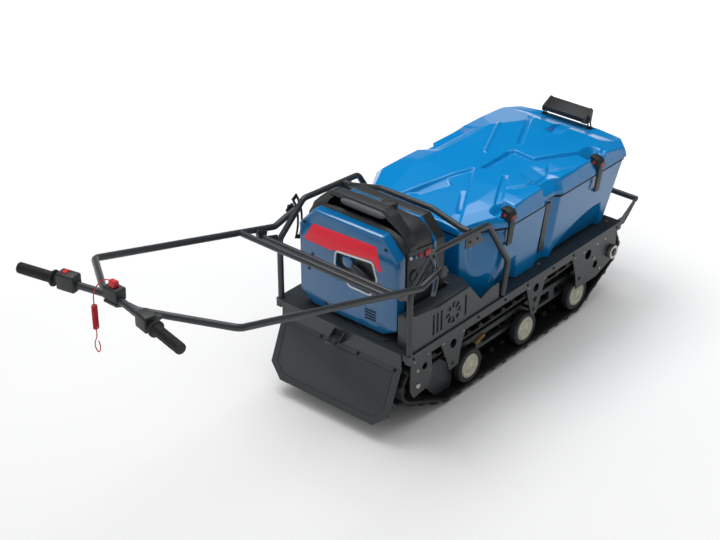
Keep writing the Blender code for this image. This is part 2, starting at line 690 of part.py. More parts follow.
def make_box(parent):
    """The hollow moulded body, open at the top, with strap grooves and an arch over the track at each end."""
    # Corners of the left half: x and y at the rim, at the middle height and at the foot
    corners = (
        (0.330, 0.186, 0.343, 0.177, 0.352, 0.170),
        (0.385, 0.208, 0.380, 0.199, 0.376, 0.192),
        (0.470, 0.262, 0.441, 0.241, 0.420, 0.226),
        (0.500, 0.262, 0.495, 0.242, 0.486, 0.204),
        (0.572, 0.262, 0.566, 0.242, 0.578, 0.204),
        (0.575, 0.262, 0.569, 0.242, 0.582, 0.228),
        (0.682, 0.262, 0.682, 0.242, 0.682, 0.228),
        (0.698, GROOVE_RIM, 0.698, 0.226, 0.698, GROOVE_FOOT),
        (0.745, GROOVE_RIM, 0.745, 0.226, 0.745, GROOVE_FOOT),
        (0.764, 0.262, 0.764, 0.242, 0.764, 0.228),
        (0.850, 0.262, 0.850, 0.242, 0.830, 0.202),
        (1.046, 0.262, 1.046, 0.241, 1.062, 0.198),
        (1.050, 0.262, 1.050, 0.240, 1.067, 0.224),
        (1.130, 0.262, 1.104, 0.238, 1.085, 0.222),
        (1.185, 0.215, 1.153, 0.194, 1.130, 0.180),
    )
    rim, middle, foot = (mirrored([row[k:k + 2] for row in corners]) for k in (0, 2, 4))
    rings = (
        (foot, BOX_LOW), (middle, BOX_MIDDLE), (rim, BOX_RIM), (inset(rim, BOX_WALL), BOX_RIM),
        (inset(middle, BOX_WALL), BOX_MIDDLE), (inset(foot, BOX_WALL), BOX_LOW + BOX_WALL),
    )
    bm = bmesh.new()
    levels = [[bm.verts.new((x, y, z)) for x, y in loop] for loop, z in rings]
    for low, high in zip(levels, levels[1:]):
        for i in range(len(low)):
            bm.faces.new((low[i - 1], low[i], high[i], high[i - 1]))
    bm.faces.new(levels[0])
    bm.faces.new(levels[-1])
    finished("box_body", bm, BLUE, parent)


def lid_height(x, y):
    """The lid's height over a point: three slopes across, between the stations before and after it."""
    for before, after in zip(LID_STATIONS, LID_STATIONS[1:]):
        if x <= after[0]:
            break
    share = (x - before[0]) / (after[0] - before[0])
    _, lip, shoulder, shoulder_z, crest, crest_z = (a + (b - a) * share for a, b in zip(before, after))
    reach = abs(y)
    if reach > shoulder:
        return SEAM + LID_SKIRT + (shoulder_z - SEAM - LID_SKIRT) * max(lip - reach, 0.0) / (lip - shoulder)
    return shoulder_z + (crest_z - shoulder_z) * min((shoulder - reach) / (shoulder - crest), 1.0)


def skewed(foot, rise):
    """A block whose foot has the given corners, each at its own height, and whose top is its foot raised."""
    bm = bmesh.new()
    low = [bm.verts.new(p) for p in foot]
    high = [bm.verts.new((x, y, z + rise)) for x, y, z in foot]
    for i in range(len(low)):
        bm.faces.new((low[i - 1], low[i], high[i], high[i - 1]))
    bm.faces.new(low)
    bm.faces.new(high)
    return bm


def facet(three, plan):
    """A cutter over a plan outline whose foot lies in the plane through three points."""
    a, b, c = (Vector(p) for p in three)
    normal = (b - a).cross(c - a)
    foot = [(x, y, a.z - (normal.x * (x - a.x) + normal.y * (y - a.y)) / normal.z) for x, y in plan]
    return skewed(foot, 0.1)


def flared(plan, low, high, spread):
    """A pocket cutter: its foot has the plan outline, and its top is wider by the spread."""
    bm = bmesh.new()
    rims = (plan, low), (inset(plan, -spread), high)
    rings = [[bm.verts.new((x, y, z)) for x, y in loop] for loop, z in rims]
    for i in range(len(plan)):
        bm.faces.new((rings[0][i - 1], rings[0][i], rings[1][i], rings[1][i - 1]))
    bm.faces.new(rings[0])
    bm.faces.new(rings[1])
    return bm


def along_lid(line, section):
    """A bar along a line on the lid: its section's points lie to the right of the line and above the lid."""
    points = [Vector(p) for p in line]
    ways = [(b - a).normalized() for a, b in zip(points, points[1:])]
    rights = [Vector((way.y, -way.x)) for way in ways]
    bm = bmesh.new()
    rings = []
    for here, one, two in zip(points, [rights[0], *rights], [*rights, rights[-1]]):
        mitre = (one + two) / (1 + one.dot(two))
        places = [(here + mitre * across, above) for across, above in section]
        rings.append([bm.verts.new((p.x, p.y, lid_height(p.x, p.y) + above)) for p, above in places])
    for one, two in zip(rings, rings[1:]):
        for i in range(len(section)):
            bm.faces.new((one[i - 1], one[i], two[i], two[i - 1]))
    bm.faces.new(rings[0])
    bm.faces.new(rings[-1])
    return bm


def make_lid(parent):
    """The double-walled lid: a loft over the stations, with its rib, facets, grooves, pockets and hollow."""
    bm = bmesh.new()
    rows = []
    for x, lip, shoulder, shoulder_z, crest, crest_z in LID_STATIONS:
        half = [(lip, SEAM), (lip, SEAM + LID_SKIRT), (shoulder, shoulder_z), (crest, crest_z)]
        rows.append([bm.verts.new((x, y, z)) for y, z in half + [(-y, z) for y, z in reversed(half)]])
    for one, two in zip(rows, rows[1:]):
        for i in range(len(one)):
            bm.faces.new((one[i - 1], one[i], two[i], two[i - 1]))
    bm.faces.new(rows[0])
    bm.faces.new(rows[-1])
    lip_line = mirrored([(row[0], row[1]) for row in LID_STATIONS])
    hollow = prism("Z", inset(lip_line, LID_WALL), SEAM - 0.01, SEAM + LID_CEILING)
    section = [(-0.006, -0.004), (0.006, -0.004), (0.0045, 0.004), (-0.0045, 0.004)]
    rib = along_lid([(0.957, 0.131), (0.741, 0.029)], section)
    # Facets: three points of the plane, then the plan outline that it is cut over
    facets = (
        (((0.622, -0.017, 0.600), (0.300, -0.200, 0.559), (0.300, 0.106, 0.559)),
         ((0.622, -0.017), (0.300, -0.200), (0.300, 0.106))),
        (((0.420, -0.139, 0.5885), (0.511, -0.188, 0.5975), (0.372, -0.200, 0.5655)),
         ((0.420, -0.139), (0.520, -0.193), (0.470, -0.290), (0.300, -0.290), (0.300, -0.140))),
        (((1.075, 0.146, 0.601), (1.000, 0.240, 0.592), (1.165, 0.235, 0.5655)),
         ((1.040, 0.110), (1.210, 0.110), (1.210, 0.290), (0.970, 0.290))),
        (((1.075, -0.146, 0.601), (1.000, -0.240, 0.592), (1.165, -0.235, 0.5655)),
         ((1.040, -0.110), (1.210, -0.110), (1.210, -0.290), (0.970, -0.290))),
        (((1.100, 0.080, 0.594), (0.954, 0.128, 0.6055), (1.045, 0.165, 0.590)),
         ((1.120, 0.070), (1.150, 0.160), (1.050, 0.200), (0.940, 0.130))),
    )
    # Grooves: the line, then the section across it
    square = [(-0.010, 0.03), (-0.009, -0.006), (0.009, -0.006), (0.010, 0.03)]
    grooves = (
        ([(0.655, -0.030), (0.790, -0.026), (0.814, -0.040), (0.803, -0.122), (0.985, -0.212),
          (1.020, -0.234)],
         [(-0.002, 0.03), (0.003, -0.010), (0.022, 0.001), (0.024, 0.03)]),
        ([(0.600, -0.188), (0.640, -0.211), (0.752, -0.205)],
         [(0.0, 0.03), (0.002, -0.004), (0.035, 0.001), (0.036, 0.03)]),
        ([(0.632, -0.134), (0.500, -0.203)], square),
        ([(1.082, 0.091), (0.862, -0.021)], [(y * 0.7, z) for y, z in square]),
    )
    cuts = [hollow]
    for x in LATCH_X:
        pocket = rectangle(x - 0.0235, x + 0.0235, -0.300, -0.224)
        cuts.append(flared(pocket, SEAM + LID_SKIRT - 0.0008, SEAM + LID_SKIRT + 0.06, 0.055))
    cuts += [facet(three, plan) for three, plan in facets]
    cuts += [along_lid(line, section) for line, section in grooves]
    cuts.append(facet(((1.014, -0.018, 0.572), (1.014, -0.072, 0.572), (1.128, -0.030, 0.578)),
                      ((1.018, -0.018), (1.128, -0.008), (1.128, -0.051), (1.013, -0.072))))
    finished("box_lid", fused([bm, rib], cuts), BLUE, parent)


def make_box_fittings(box_parent, lid_parent):
    """The long hinge on the left, two pull latches on the right and a tie bar in each strap groove."""
    barrel = circle((HINGE_Y, HINGE_Z), HINGE_R, 10, 0.3)
    wall_y = 0.262 + GAP
    leaf = [(wall_y, 0.500), (wall_y + 0.003, 0.500), (wall_y + 0.003, 0.524), (HINGE_Y + 0.002, 0.5345),
            (HINGE_Y - 0.003, 0.5380), (HINGE_Y - 0.006, BOX_RIM - 0.001), (wall_y, 0.531)]
    bodies = [prism("X", barrel, *HINGE_SPAN), prism("X", leaf, *HINGE_SPAN)]
    finished("lid_hinge", fused(bodies), STEEL, box_parent)
    near, far = -LID_LIP - 2 * GAP, -LID_LIP - 0.0055
    for name, x in zip(("rear", "front"), LATCH_X):
        strap = [(near, 0.560), (near, BOX_RIM), (near + 0.0095, 0.470), (near + 0.004, 0.466),
                 (far, BOX_RIM - 0.003), (far, 0.560), (far - 0.005, 0.585), (near, 0.585)]
        finished(f"latch_{name}", prism("X", strap, x - 0.013, x + 0.013), BLACK, lid_parent)
    for name, side in SIDES:
        slope = (GROOVE_RIM - GROOVE_FOOT) / (BOX_RIM - BOX_LOW)
        inner = [(GROOVE_FOOT + (z - BOX_LOW) * slope + 1.2 * GAP, z) for z in (0.330, 0.515)]
        bar = inner + [(y + 0.0055, z) for y, z in reversed(inner)]
        loop = [(side * y, z) for y, z in bar]
        finished(f"tie_bar_{name}", prism("X", loop, 0.708, 0.734), STEEL, box_parent)


def make_lamp(parent):
    """The lamp bar on the front of the lid: finned housing, two cheeks and two feet."""
    x, z = LAMP_AT
    housing = [(x - 0.024, z - 0.012), (x + 0.016, z - 0.026), (x + 0.026, z + 0.004), (x + 0.018, z + 0.020),
               (x - 0.006, z + 0.026), (x - 0.026, z + 0.012)]
    bodies = [prism("Y", housing, -LAMP_HALF, LAMP_HALF)]
    fin = [(u - 0.0015, v + 0.0010) for u, v in housing]
    for number in range(LAMP_FINS):
        y = -LAMP_HALF + 0.008 + (2 * LAMP_HALF - 0.016) * number / (LAMP_FINS - 1)
        bodies.append(prism("Y", fin, y - 0.001, y + 0.001))
    seat = LID_NOSE + GAP
    for side in (-1, 1):
        cheek = [(x - 0.014, seat), (x + 0.010, seat), (x + 0.006, z + 0.006), (x - 0.006, z + 0.006)]
        low, high = outward(side, LAMP_HALF - 0.001, LAMP_HALF + 0.004)
        bodies.append(prism("Y", cheek, low, high))
        low, high = outward(side, LAMP_HALF - 0.001, LAMP_HALF + 0.022)
        bodies.append(prism("Y", rectangle(x - 0.014, x + 0.010, seat, seat + 0.003), low, high))
    finished("light_bar", fused(bodies), LAMP, parent)


def make_bumper(parent):
    """The front tube on two slotted arms bolted to the rail ends."""
    bodies = [rod((BUMPER_X, -BUMPER_HALF, BUMPER_Z), (BUMPER_X, BUMPER_HALF, BUMPER_Z), BUMPER_R, 12)]
    start = RAIL_FRONT + GAP
    arm = [(start, 0.262), (1.176, 0.262), (BUMPER_X + 0.004, BUMPER_Z - 0.004),
           (BUMPER_X - 0.006, BUMPER_Z + 0.004), (1.165, 0.290), (start, 0.290)]
    slot = [(1.178, 0.276), (1.184, 0.272), (1.224, 0.306), (1.218, 0.310)]
    arm_y = RAIL_OUT - 0.0125
    for _, side in SIDES:
        bodies.append(prism("Y", arm, *outward(side, arm_y - 0.005, arm_y), holes=(slot,)))
    finished("bumper", fused(bodies), STEEL, parent)


def make_flap(parent):
    """The rear guard: an upright flange on the cross member and the sloping plate under it."""
    top, foot = Vector(FLAP_TOP), Vector(FLAP_FOOT)
    length = (foot - top).length
    # Left half of the plate, laid flat: distance down the slope, distance from the middle
    outline = mirrored([(-0.002, 0.243), (length * 0.78, 0.243), (length, 0.192)])
    plate = prism("Z", outline, 0.0, FLAP_THICK)
    border = prism("Z", inset(outline, 0.0225), -0.001, 0.0012, holes=(inset(outline, 0.0255),))
    down = (foot - top).normalized()
    turn = Matrix(((down.x, 0.0, -down.y, top.x), (0.0, 1.0, 0.0, 0.0),
                   (down.y, 0.0, down.x, top.y), (0.0, 0.0, 0.0, 1.0)))
    for flat in (plate, border):
        bmesh.ops.transform(flat, matrix=turn, verts=flat.verts)
    rear = RAIL_REAR - GAP
    flange = prism("X", rectangle(-0.243, 0.243, FLAP_TOP[1] - 0.004, DECK_TOP), rear - FLAP_THICK, rear)
    finished("flap", fused([flange, plate], [border]), STEEL, parent)


def make_hitch(parent):
    """The tow bracket behind the flap's flange: a flat plate with a drawbar hole and two cheeks."""
    rear = RAIL_REAR - 2 * GAP - FLAP_THICK
    corners = [(rear, -0.024), (rear, 0.024), (rear - 0.052, 0.016), (rear - 0.052, -0.016)]
    outline = rounded(corners, 0.004, 2)
    bodies = [prism("Z", outline, 0.256, 0.262, holes=(circle((rear - 0.034, 0.0), 0.007, 14),))]
    cheek = [(rear, 0.250), (rear, 0.284), (rear - 0.030, 0.263), (rear - 0.030, 0.255)]
    for side in (-1, 1):
        bodies.append(prism("Y", cheek, *outward(side, 0.019, 0.023)))
    finished("hitch", fused(bodies), STEEL, parent)


def make_handle_frame(parent):
    """The U of tube that carries the handlebar, with its crossbar, pivot ears and saddle."""
    arm_end = (KNOB_AT[0], KNOB_AT[1])
    half = [
        (arm_end[0], ARM_Y, arm_end[1]), (0.010, ARM_Y, 0.529), (-0.717, ARM_Y - 0.012, 0.730),
        (-0.868, 0.062, BAR_Z - 0.024),
    ]
    line = half + [(x, -y, z) for x, y, z in reversed(half)]
    cross_z = 0.529 + (0.730 - 0.529) * (0.010 - CROSSBAR_X) / 0.727
    bodies = [
        swept(line, ARM_R, ARM_BEND, steps=5),
        rod((CROSSBAR_X, -ARM_Y, cross_z), (CROSSBAR_X, ARM_Y, cross_z), ARM_R - 0.001, 12),
    ]
    ear = [(PIVOT_X - 0.012, PIVOT_Z - 0.006), (PIVOT_X + 0.012, PIVOT_Z - 0.006), (PIVOT_X + 0.020, 0.540),
           (PIVOT_X - 0.024, 0.560)]
    knob_x, knob_z = KNOB_AT[0] - 0.005, KNOB_AT[1] - 0.0015
    knob = [
        (knob_x + radius * math.cos(math.tau * n / 18), knob_z + radius * math.sin(math.tau * n / 18))
        for n, radius in enumerate((0.0195, 0.0165, 0.0165) * 6)
    ]
    for _, side in SIDES:
        bodies.append(prism("Y", ear, *outward(side, EAR_IN, ARM_Y - 0.004)))
        bodies.append(prism("Y", knob, *outward(side, ARM_Y + ARM_R - 0.001, ARM_Y + ARM_R + 0.008)))
    lip = BAR_Z - 0.004 - GAP
    saddle = [(-0.906, BAR_Z - 0.014), (-0.860, BAR_Z - 0.030), (-0.860, BAR_Z - 0.018), (-0.876, lip),
              (-0.906, lip)]
    bodies.append(prism("Y", saddle, -0.024, 0.024))
    bar = swept(handlebar_line(), BAR_R + GAP, BAR_BEND)
    finished("handle_frame", fused(bodies, [bar]), STEEL, parent)


def handlebar_line():
    ends = [(*BAR_END, BAR_Z), (*BAR_MID, BAR_Z)]
    return ends + [(x, -y, z) for x, y, z in reversed(ends)]


def bar_place(side, distance):
    """A frame on one half of the handlebar: its Z runs out along the bar from the given distance."""
    middle = Vector((BAR_MID[0], side * BAR_MID[1], BAR_Z))
    end = Vector((BAR_END[0], side * BAR_END[1], BAR_Z))
    along = (end - middle).normalized()
    up = Vector((0.0, 0.0, 1.0))
    across = up.cross(along)
    turn = Matrix((across, up, along)).transposed().to_4x4()
    return Matrix.Translation(middle + along * distance) @ turn


def on_bar(bm, side, distance):
    bmesh.ops.transform(bm, matrix=bar_place(side, distance), verts=bm.verts)
    return bm


def make_handlebar(parent):
    """The bent bar, its two grips and the three controls clamped round it."""
    reach = math.dist(BAR_MID, BAR_END)
    finished("handlebar", swept(handlebar_line(), BAR_R, BAR_BEND), STEEL, parent)
    bore = BAR_R + GAP
    grip = [(0.0, GRIP_LENGTH), (GRIP_R - 0.003, GRIP_LENGTH), (GRIP_R, GRIP_LENGTH - 0.004),
            (GRIP_R, 0.010), (0.023, 0.006), (0.023, 0.0), (bore, 0.0), (bore, GRIP_LENGTH - 0.004),
            (0.0, GRIP_LENGTH - 0.004)]
    for name, side in SIDES:
        bm = on_bar(turned(grip, "Z", (0.0, 0.0, 0.0), 16), side, reach - GRIP_LENGTH + 0.004 + GAP)
        finished(f"grip_{name}", bm, BLACK, parent)
    clamp = circle((0.0, 0.0), bore, 14)
    # Controls: node, side, distance along the bar, length, outline across the bar
    controls = (
        ("switch_block", 1, 0.082, 0.056, rounded(rectangle(-0.019, 0.021, -0.019, 0.030), 0.006, 3)),
        ("throttle_housing", -1, 0.088, 0.050, rounded(rectangle(-0.021, 0.019, -0.020, 0.026), 0.007, 3)),
    )
    for node, side, distance, length, outline in controls:
        case = prism("Z", outline, 0.0, length, holes=(clamp,))
        finished(node, on_bar(case, side, distance), BLACK, parent)
    kill = [(-0.908, BAR_Z - 0.004), (-0.870, BAR_Z - 0.004), (-0.868, KILL_TOP), (-0.906, KILL_TOP)]
    body = prism("Y", rounded(kill, 0.005, 3), -0.026, 0.026)
    finished("kill_switch", fused([body], [swept(handlebar_line(), bore, BAR_BEND)]), BLACK, parent)


def make_lever(parent):
    """The throttle lever: a thumb blade on its pin in front of the right-hand housing."""
    blade = rounded([(0.0194, -0.006), (0.032, -0.010), (0.044, -0.002), (0.044, 0.004), (0.030, 0.004),
                     (0.0194, 0.004)], 0.0015, 2)
    finished("throttle_lever", on_bar(prism("Z", blade, 0.012, 0.030), -1, 0.088), BLACK, parent)


def make_knobs(parent):
    """The bolt of each clamp knob, which runs in the quadrant's slot."""
    far = ARM_Y - ARM_R - GAP
    profile = [(0.0, QUADRANT_Y), (0.004, QUADRANT_Y), (0.004, far), (0.0, far)]
    for name, side in SIDES:
        head = [(r, side * s) for r, s in profile]
        finished(f"slot_bolt_{name}", turned(head, "Y", (KNOB_AT[0], 0.0, KNOB_AT[1]), 12), BRIGHT, parent)


def make_lanyard(parent):
    """Clip, lead, curly part as one fat tube, and the wrist loop, hanging from the kill switch."""
    x, y = LANYARD_AT
    clip_z = KILL_TOP + GAP
    clip = [(-0.900, clip_z), (-0.878, clip_z), (-0.880, clip_z + 0.018), (-0.896, clip_z + 0.020)]
    finished("lanyard_clip", prism("Y", rounded(clip, 0.003, 2), -0.012, 0.010), RED, parent)
    route = [(-0.888, 0.0103, clip_z + 0.010), (-0.889, 0.022, clip_z + 0.012),
             (-0.897, 0.034, clip_z + 0.008), (-0.910, 0.042, clip_z - 0.006),
             (-0.918, 0.045, clip_z - 0.020), (x, y, COIL_TOP + 0.018), (x, y, COIL_TOP + GAP)]
    finished("lanyard_lead", swept(smooth(route, 24), LANYARD_R, detail=2), RED, parent)
    finished("lanyard_coil", rod((x, y, COIL_FOOT), (x, y, COIL_TOP), COIL_R, 12), RED, parent)
    half = 0.010
    loop = [(x, y, COIL_FOOT - GAP), (x, y, LOOP_TOP + 0.012), (x, y + 0.003, LOOP_TOP),
            (x, y + half, LOOP_TOP - 0.016), (x, y + half - 0.001, LOOP_FOOT + 0.009), (x, y, LOOP_FOOT),
            (x, y - half + 0.001, LOOP_FOOT + 0.009), (x, y - half, LOOP_TOP - 0.016),
            (x, y - 0.005, LOOP_TOP - 0.004)]
    finished("lanyard_loop", swept(smooth(loop, 40), LANYARD_R, detail=2), RED, parent)


def smooth(points, count):
    """Points along one smooth curve through the route's own points."""
    route = [Vector(p) for p in points]
    route = [route[0] * 2 - route[1], *route, route[-1] * 2 - route[-2]]
    spans = len(route) - 3
    out = []
    for n in range(count + 1):
        place = min(n * spans / count, spans - 1e-9)
        i = int(place)
        t = place - i
        a, b, c, d = route[i:i + 4]
        bow, twist = 2 * a - 5 * b + 4 * c - d, 3 * b - a - 3 * c + d
        out.append(0.5 * ((2 * b) + (c - a) * t + bow * t * t + twist * t ** 3))
    return out


def main():
    clear_scene()
    chassis = bpy.data.objects.new("chassis", None)
    lid = bpy.data.objects.new("lid_pivot", None)
    handle = bpy.data.objects.new("handle_pivot", None)
    for empty in (chassis, lid, handle):
        bpy.context.scene.collection.objects.link(empty)
    chassis.location.x = -ORIGIN_X
    for empty, place in ((lid, (HINGE_SPAN[0], HINGE_Y, HINGE_Z)), (handle, (PIVOT_X, 0.0, PIVOT_Z))):
        empty.parent = chassis
        empty.location = place
        empty.empty_display_size = 0.05
    make_track(chassis)
    make_rails(chassis)
    make_deck(chassis)
    make_carriages(chassis)
    make_running_gear(chassis)
    make_motor(chassis)
    make_cage(chassis)
    make_pivot(chassis)
    make_quadrants(chassis)
    make_pannier(chassis)
    make_generator(chassis)
    make_tray(chassis)
    make_box(chassis)
    make_bumper(chassis)
    make_flap(chassis)
    make_hitch(chassis)
    make_lid(lid)
    make_box_fittings(chassis, lid)
    make_lamp(lid)
    make_handle_frame(handle)
    make_handlebar(handle)
    make_lever(handle)
    make_knobs(handle)
    make_lanyard(handle)
    bpy.context.view_layer.update()
    for piece in list(bpy.data.objects):
        if piece.type == "MESH" and piece.parent in (lid, handle):
            piece.matrix_parent_inverse = Matrix.Translation(piece.parent.location).inverted()


main()
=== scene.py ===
# %% [markdown]
# # A tracked snow tug, dressed
#
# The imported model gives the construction: a rubber track, rails, a roll frame, a folding handle, a
# generator and a cargo box, all at their real size. This lesson gives them their looks. Most pieces
# are worked out again as smooth surfaces with numpy, because a shape written as a formula of two
# numbers is short, exact and easy to change. Plates with many cut-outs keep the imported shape, and a
# copy of them gets rounded edges, since an edge that catches no light looks like paper.

# %% Load the frame
import json

import bmesh
import bpy
import numpy as np
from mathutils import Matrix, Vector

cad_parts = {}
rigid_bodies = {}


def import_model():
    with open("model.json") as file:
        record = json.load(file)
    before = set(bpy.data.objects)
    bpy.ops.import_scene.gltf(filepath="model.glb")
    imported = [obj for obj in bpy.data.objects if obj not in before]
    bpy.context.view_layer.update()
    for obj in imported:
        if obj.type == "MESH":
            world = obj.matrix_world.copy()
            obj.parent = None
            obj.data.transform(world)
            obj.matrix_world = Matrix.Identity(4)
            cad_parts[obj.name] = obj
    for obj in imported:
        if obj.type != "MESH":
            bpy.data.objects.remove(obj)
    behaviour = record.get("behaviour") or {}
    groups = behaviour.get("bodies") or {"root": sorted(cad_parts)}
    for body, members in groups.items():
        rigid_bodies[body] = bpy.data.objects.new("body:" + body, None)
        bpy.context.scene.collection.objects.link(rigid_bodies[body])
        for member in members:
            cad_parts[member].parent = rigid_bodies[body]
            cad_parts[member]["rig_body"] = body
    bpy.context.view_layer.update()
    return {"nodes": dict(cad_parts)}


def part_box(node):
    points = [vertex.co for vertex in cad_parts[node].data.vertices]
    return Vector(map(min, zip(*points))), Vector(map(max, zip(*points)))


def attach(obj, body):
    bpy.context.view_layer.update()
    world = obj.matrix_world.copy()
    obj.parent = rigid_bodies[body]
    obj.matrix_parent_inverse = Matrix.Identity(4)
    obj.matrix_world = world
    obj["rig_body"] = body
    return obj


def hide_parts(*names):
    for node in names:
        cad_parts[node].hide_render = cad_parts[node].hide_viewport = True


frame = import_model()

# %% [markdown]
# Sizes along the tug are easiest to read from its rear posts, as a workshop drawing would give
# them. The rails start a little behind those posts, so their packed box says where the posts stand,
# and one shift carries every piece from drawing coordinates into the shared frame.

# %% Where the drawing starts
RAIL_BEHIND_POSTS = 0.0125
SHIFT = np.array([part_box("rail_left")[0][0] + RAIL_BEHIND_POSTS, 0.0, 0.0])
GAP = 0.0003
SIDES = (("left", 1), ("right", -1))
print("rear posts at x =", round(float(SHIFT[0]), 4))

# %% [markdown]
# The camera comes first, because every later choice is checked through it. Its place was solved
# from the photograph: it stands behind the tug on its right, and looks down at it.

# %% Camera
CAMERA_AT = np.array([-3.2518, -2.8775, 2.9690])
LOOKS_DOWN = np.radians(29.752)
LOOKS_LEFT = np.radians(40.836)
LENS_MM = 82.893

camera = bpy.data.objects.new("camera", bpy.data.cameras.new("camera"))
bpy.context.scene.collection.objects.link(camera)
camera.location = CAMERA_AT + SHIFT
camera.rotation_euler = (np.pi / 2 - LOOKS_DOWN, 0.0, LOOKS_LEFT - np.pi / 2)
camera.data.lens = LENS_MM
camera.data.sensor_width = 36.0
camera.data.clip_end = 60.0
bpy.context.scene.camera = camera
print("camera at", np.round(camera.location, 3).tolist())

# %% [markdown]
# ## Materials
#
# Every finish starts from what the real one is: powder-coated steel, rotationally moulded
# polyethylene, rubber. Colours are written as the hex values a designer would pick and turned to
# linear light by one function. The patterns are noise in Object coordinates, whose scale is one
# divided by the real size of the grain, so a number in millimetres decides how coarse it looks.

# %% Colour and nodes


def linear(code):
    """A hex colour as linear RGBA: a channel c becomes ((c + 0.055) / 1.055) ** 2.4, near black c / 12.92."""
    c = np.array([int(code[i:i + 2], 16) for i in (1, 3, 5)]) / 255
    return (*np.where(c > 0.04045, ((c + 0.055) / 1.055) ** 2.4, c / 12.92), 1.0)


def add(tree, kind, settings=None, links=None):
    """Adds one node: settings fill its properties or inputs, links join inputs to other nodes' sockets."""
    made = tree.nodes.new(kind)
    for name, value in (settings or {}).items():
        if hasattr(made, str(name)):
            setattr(made, name, value)
        else:
            made.inputs[name].default_value = value
    for name, socket in (links or {}).items():
        tree.links.new(socket, made.inputs[name])
    return made


def per_mm(size):
    """The noise scale at which one grain is this many millimetres."""
    return 1000.0 / size


def finish(name, colour, roughness, grain, depth, metallic=0.0, mottle=0.12, patch=60.0, sockets=None):
    """A surface with a fine grain in its bump, and slow patches that vary its colour and roughness a little.

    grain, patch and depth, the height of the grain, are in mm, and mottle is how far the colour strays.
    """
    made = bpy.data.materials.new(name)
    made.use_nodes = True
    tree = made.node_tree
    shader = tree.nodes["Principled BSDF"]
    place = add(tree, "ShaderNodeTexCoord").outputs["Object"]
    slow = add(tree, "ShaderNodeTexNoise", {"Scale": per_mm(patch), "Detail": 4.0}, {"Vector": place})
    base = linear(colour)
    dark = (*(channel * (1 - mottle) for channel in base[:3]), 1.0)
    pale = (*(min(channel * (1 + mottle) + 0.002, 1.0) for channel in base[:3]), 1.0)
    mixed = add(tree, "ShaderNodeMix", {"data_type": "RGBA"}, {0: slow.outputs["Fac"]})
    mixed.inputs[6].default_value = dark
    mixed.inputs[7].default_value = pale
    tree.links.new(mixed.outputs[2], shader.inputs["Base Color"])
    spread = add(tree, "ShaderNodeMapRange", {"To Min": roughness - 0.05, "To Max": roughness + 0.05},
                 {"Value": slow.outputs["Fac"]})
    tree.links.new(spread.outputs["Result"], shader.inputs["Roughness"])
    fine = add(tree, "ShaderNodeTexNoise", {"Scale": per_mm(grain), "Detail": 2.0}, {"Vector": place})
    bump = add(tree, "ShaderNodeBump", {"Distance": depth / 1000, "Strength": 1.0},
               {"Height": fine.outputs["Fac"]})
    tree.links.new(bump.outputs["Normal"], shader.inputs["Normal"])
    shader.inputs["Metallic"].default_value = metallic
    for socket, value in (sockets or {}).items():
        shader.inputs[socket].default_value = value
    return made


# %% [markdown]
# **Steel parts.** Frame, rails and plates are steel with a black powder coat. The powder melts into
# a skin with a faint orange peel, so highlights are broad and slightly broken. Its real grain of
# about half a millimetre is too fine for this view and is drawn at two. Bolts are zinc plated and
# the wheel discs are yellow-passivated zinc, which gives them their cream tone.

# %% Steel finishes
powder_coat = finish("powder_coated_steel", "#33383B", 0.37, grain=2.0, depth=0.04, mottle=0.10)
bright_zinc = finish("zinc_plated_steel", "#B4B3AA", 0.30, grain=1.2, depth=0.01, metallic=0.9)
cream_zinc = finish("yellow_passivated_zinc", "#E4E1CE", 0.36, grain=3.0, depth=0.02, metallic=0.10,
                    mottle=0.08)
gold_zinc = finish("yellow_chromated_spring_steel", "#B79A4E", 0.34, grain=1.5, depth=0.01, metallic=0.8)
# This dark steel also draws the vent slots and the latch windows, where it is painted shade for openings that
# are not cut.
dark_bolt_and_slot_shade = finish("black_oxide_steel_and_slot_shade", "#1D1F20", 0.38, grain=1.0, depth=0.01, metallic=0.6)

# %% [markdown]
# **Box.** The cargo box is rotationally moulded polyethylene: powder melts inside a turning mould,
# so the skin is thick and waxy, its edges are soft, and a faint orange peel of a few millimetres
# breaks up long reflections. A little subsurface light would be lost in the export, so the waxy
# look comes from a fairly low roughness and a light coat instead.

# %% Plastics
moulded_blue = finish("rotomoulded_polyethylene_blue", "#0089D0", 0.22, grain=5.0, depth=0.02, mottle=0.05,
                      patch=180.0, sockets={"Coat Weight": 0.3, "Coat Roughness": 0.14})
shell_blue = finish("injection_moulded_abs_blue", "#006AA4", 0.24, grain=1.5, depth=0.01, mottle=0.05,
                    sockets={"Coat Weight": 0.5, "Coat Roughness": 0.12})
abs_black = finish("spark_textured_abs_black", "#27292B", 0.50, grain=1.4, depth=0.05)
grip_rubber = finish("moulded_grip_rubber", "#1B1C1E", 0.62, grain=1.2, depth=0.05)
signal_red = finish("moulded_nylon_red", "#D2232E", 0.34, grain=1.5, depth=0.02, mottle=0.06)
# The red vinyl is given a weak emission: a painted glow that brightens the band under any light, though it is
# no lamp.
decal_red_painted_glow = finish("vinyl_red_painted_glow", "#F5203A", 0.40, grain=1.5, depth=0.004, mottle=0.03,
                   sockets={"Emission Color": linear("#FF1C38"), "Emission Strength": 0.12})
trim_white = finish("painted_trim_white", "#E6EAEC", 0.28, grain=1.5, depth=0.004, mottle=0.03)

# %% [markdown]
# **Rubber and lamp.** Track rubber is nearly black and dull, and mould release leaves it uneven, in
# patches of a few centimetres. The tyres of the road wheels are a little greyer. The lamp housing is
# die-cast aluminium under black anodising, and its lens is clear polycarbonate.

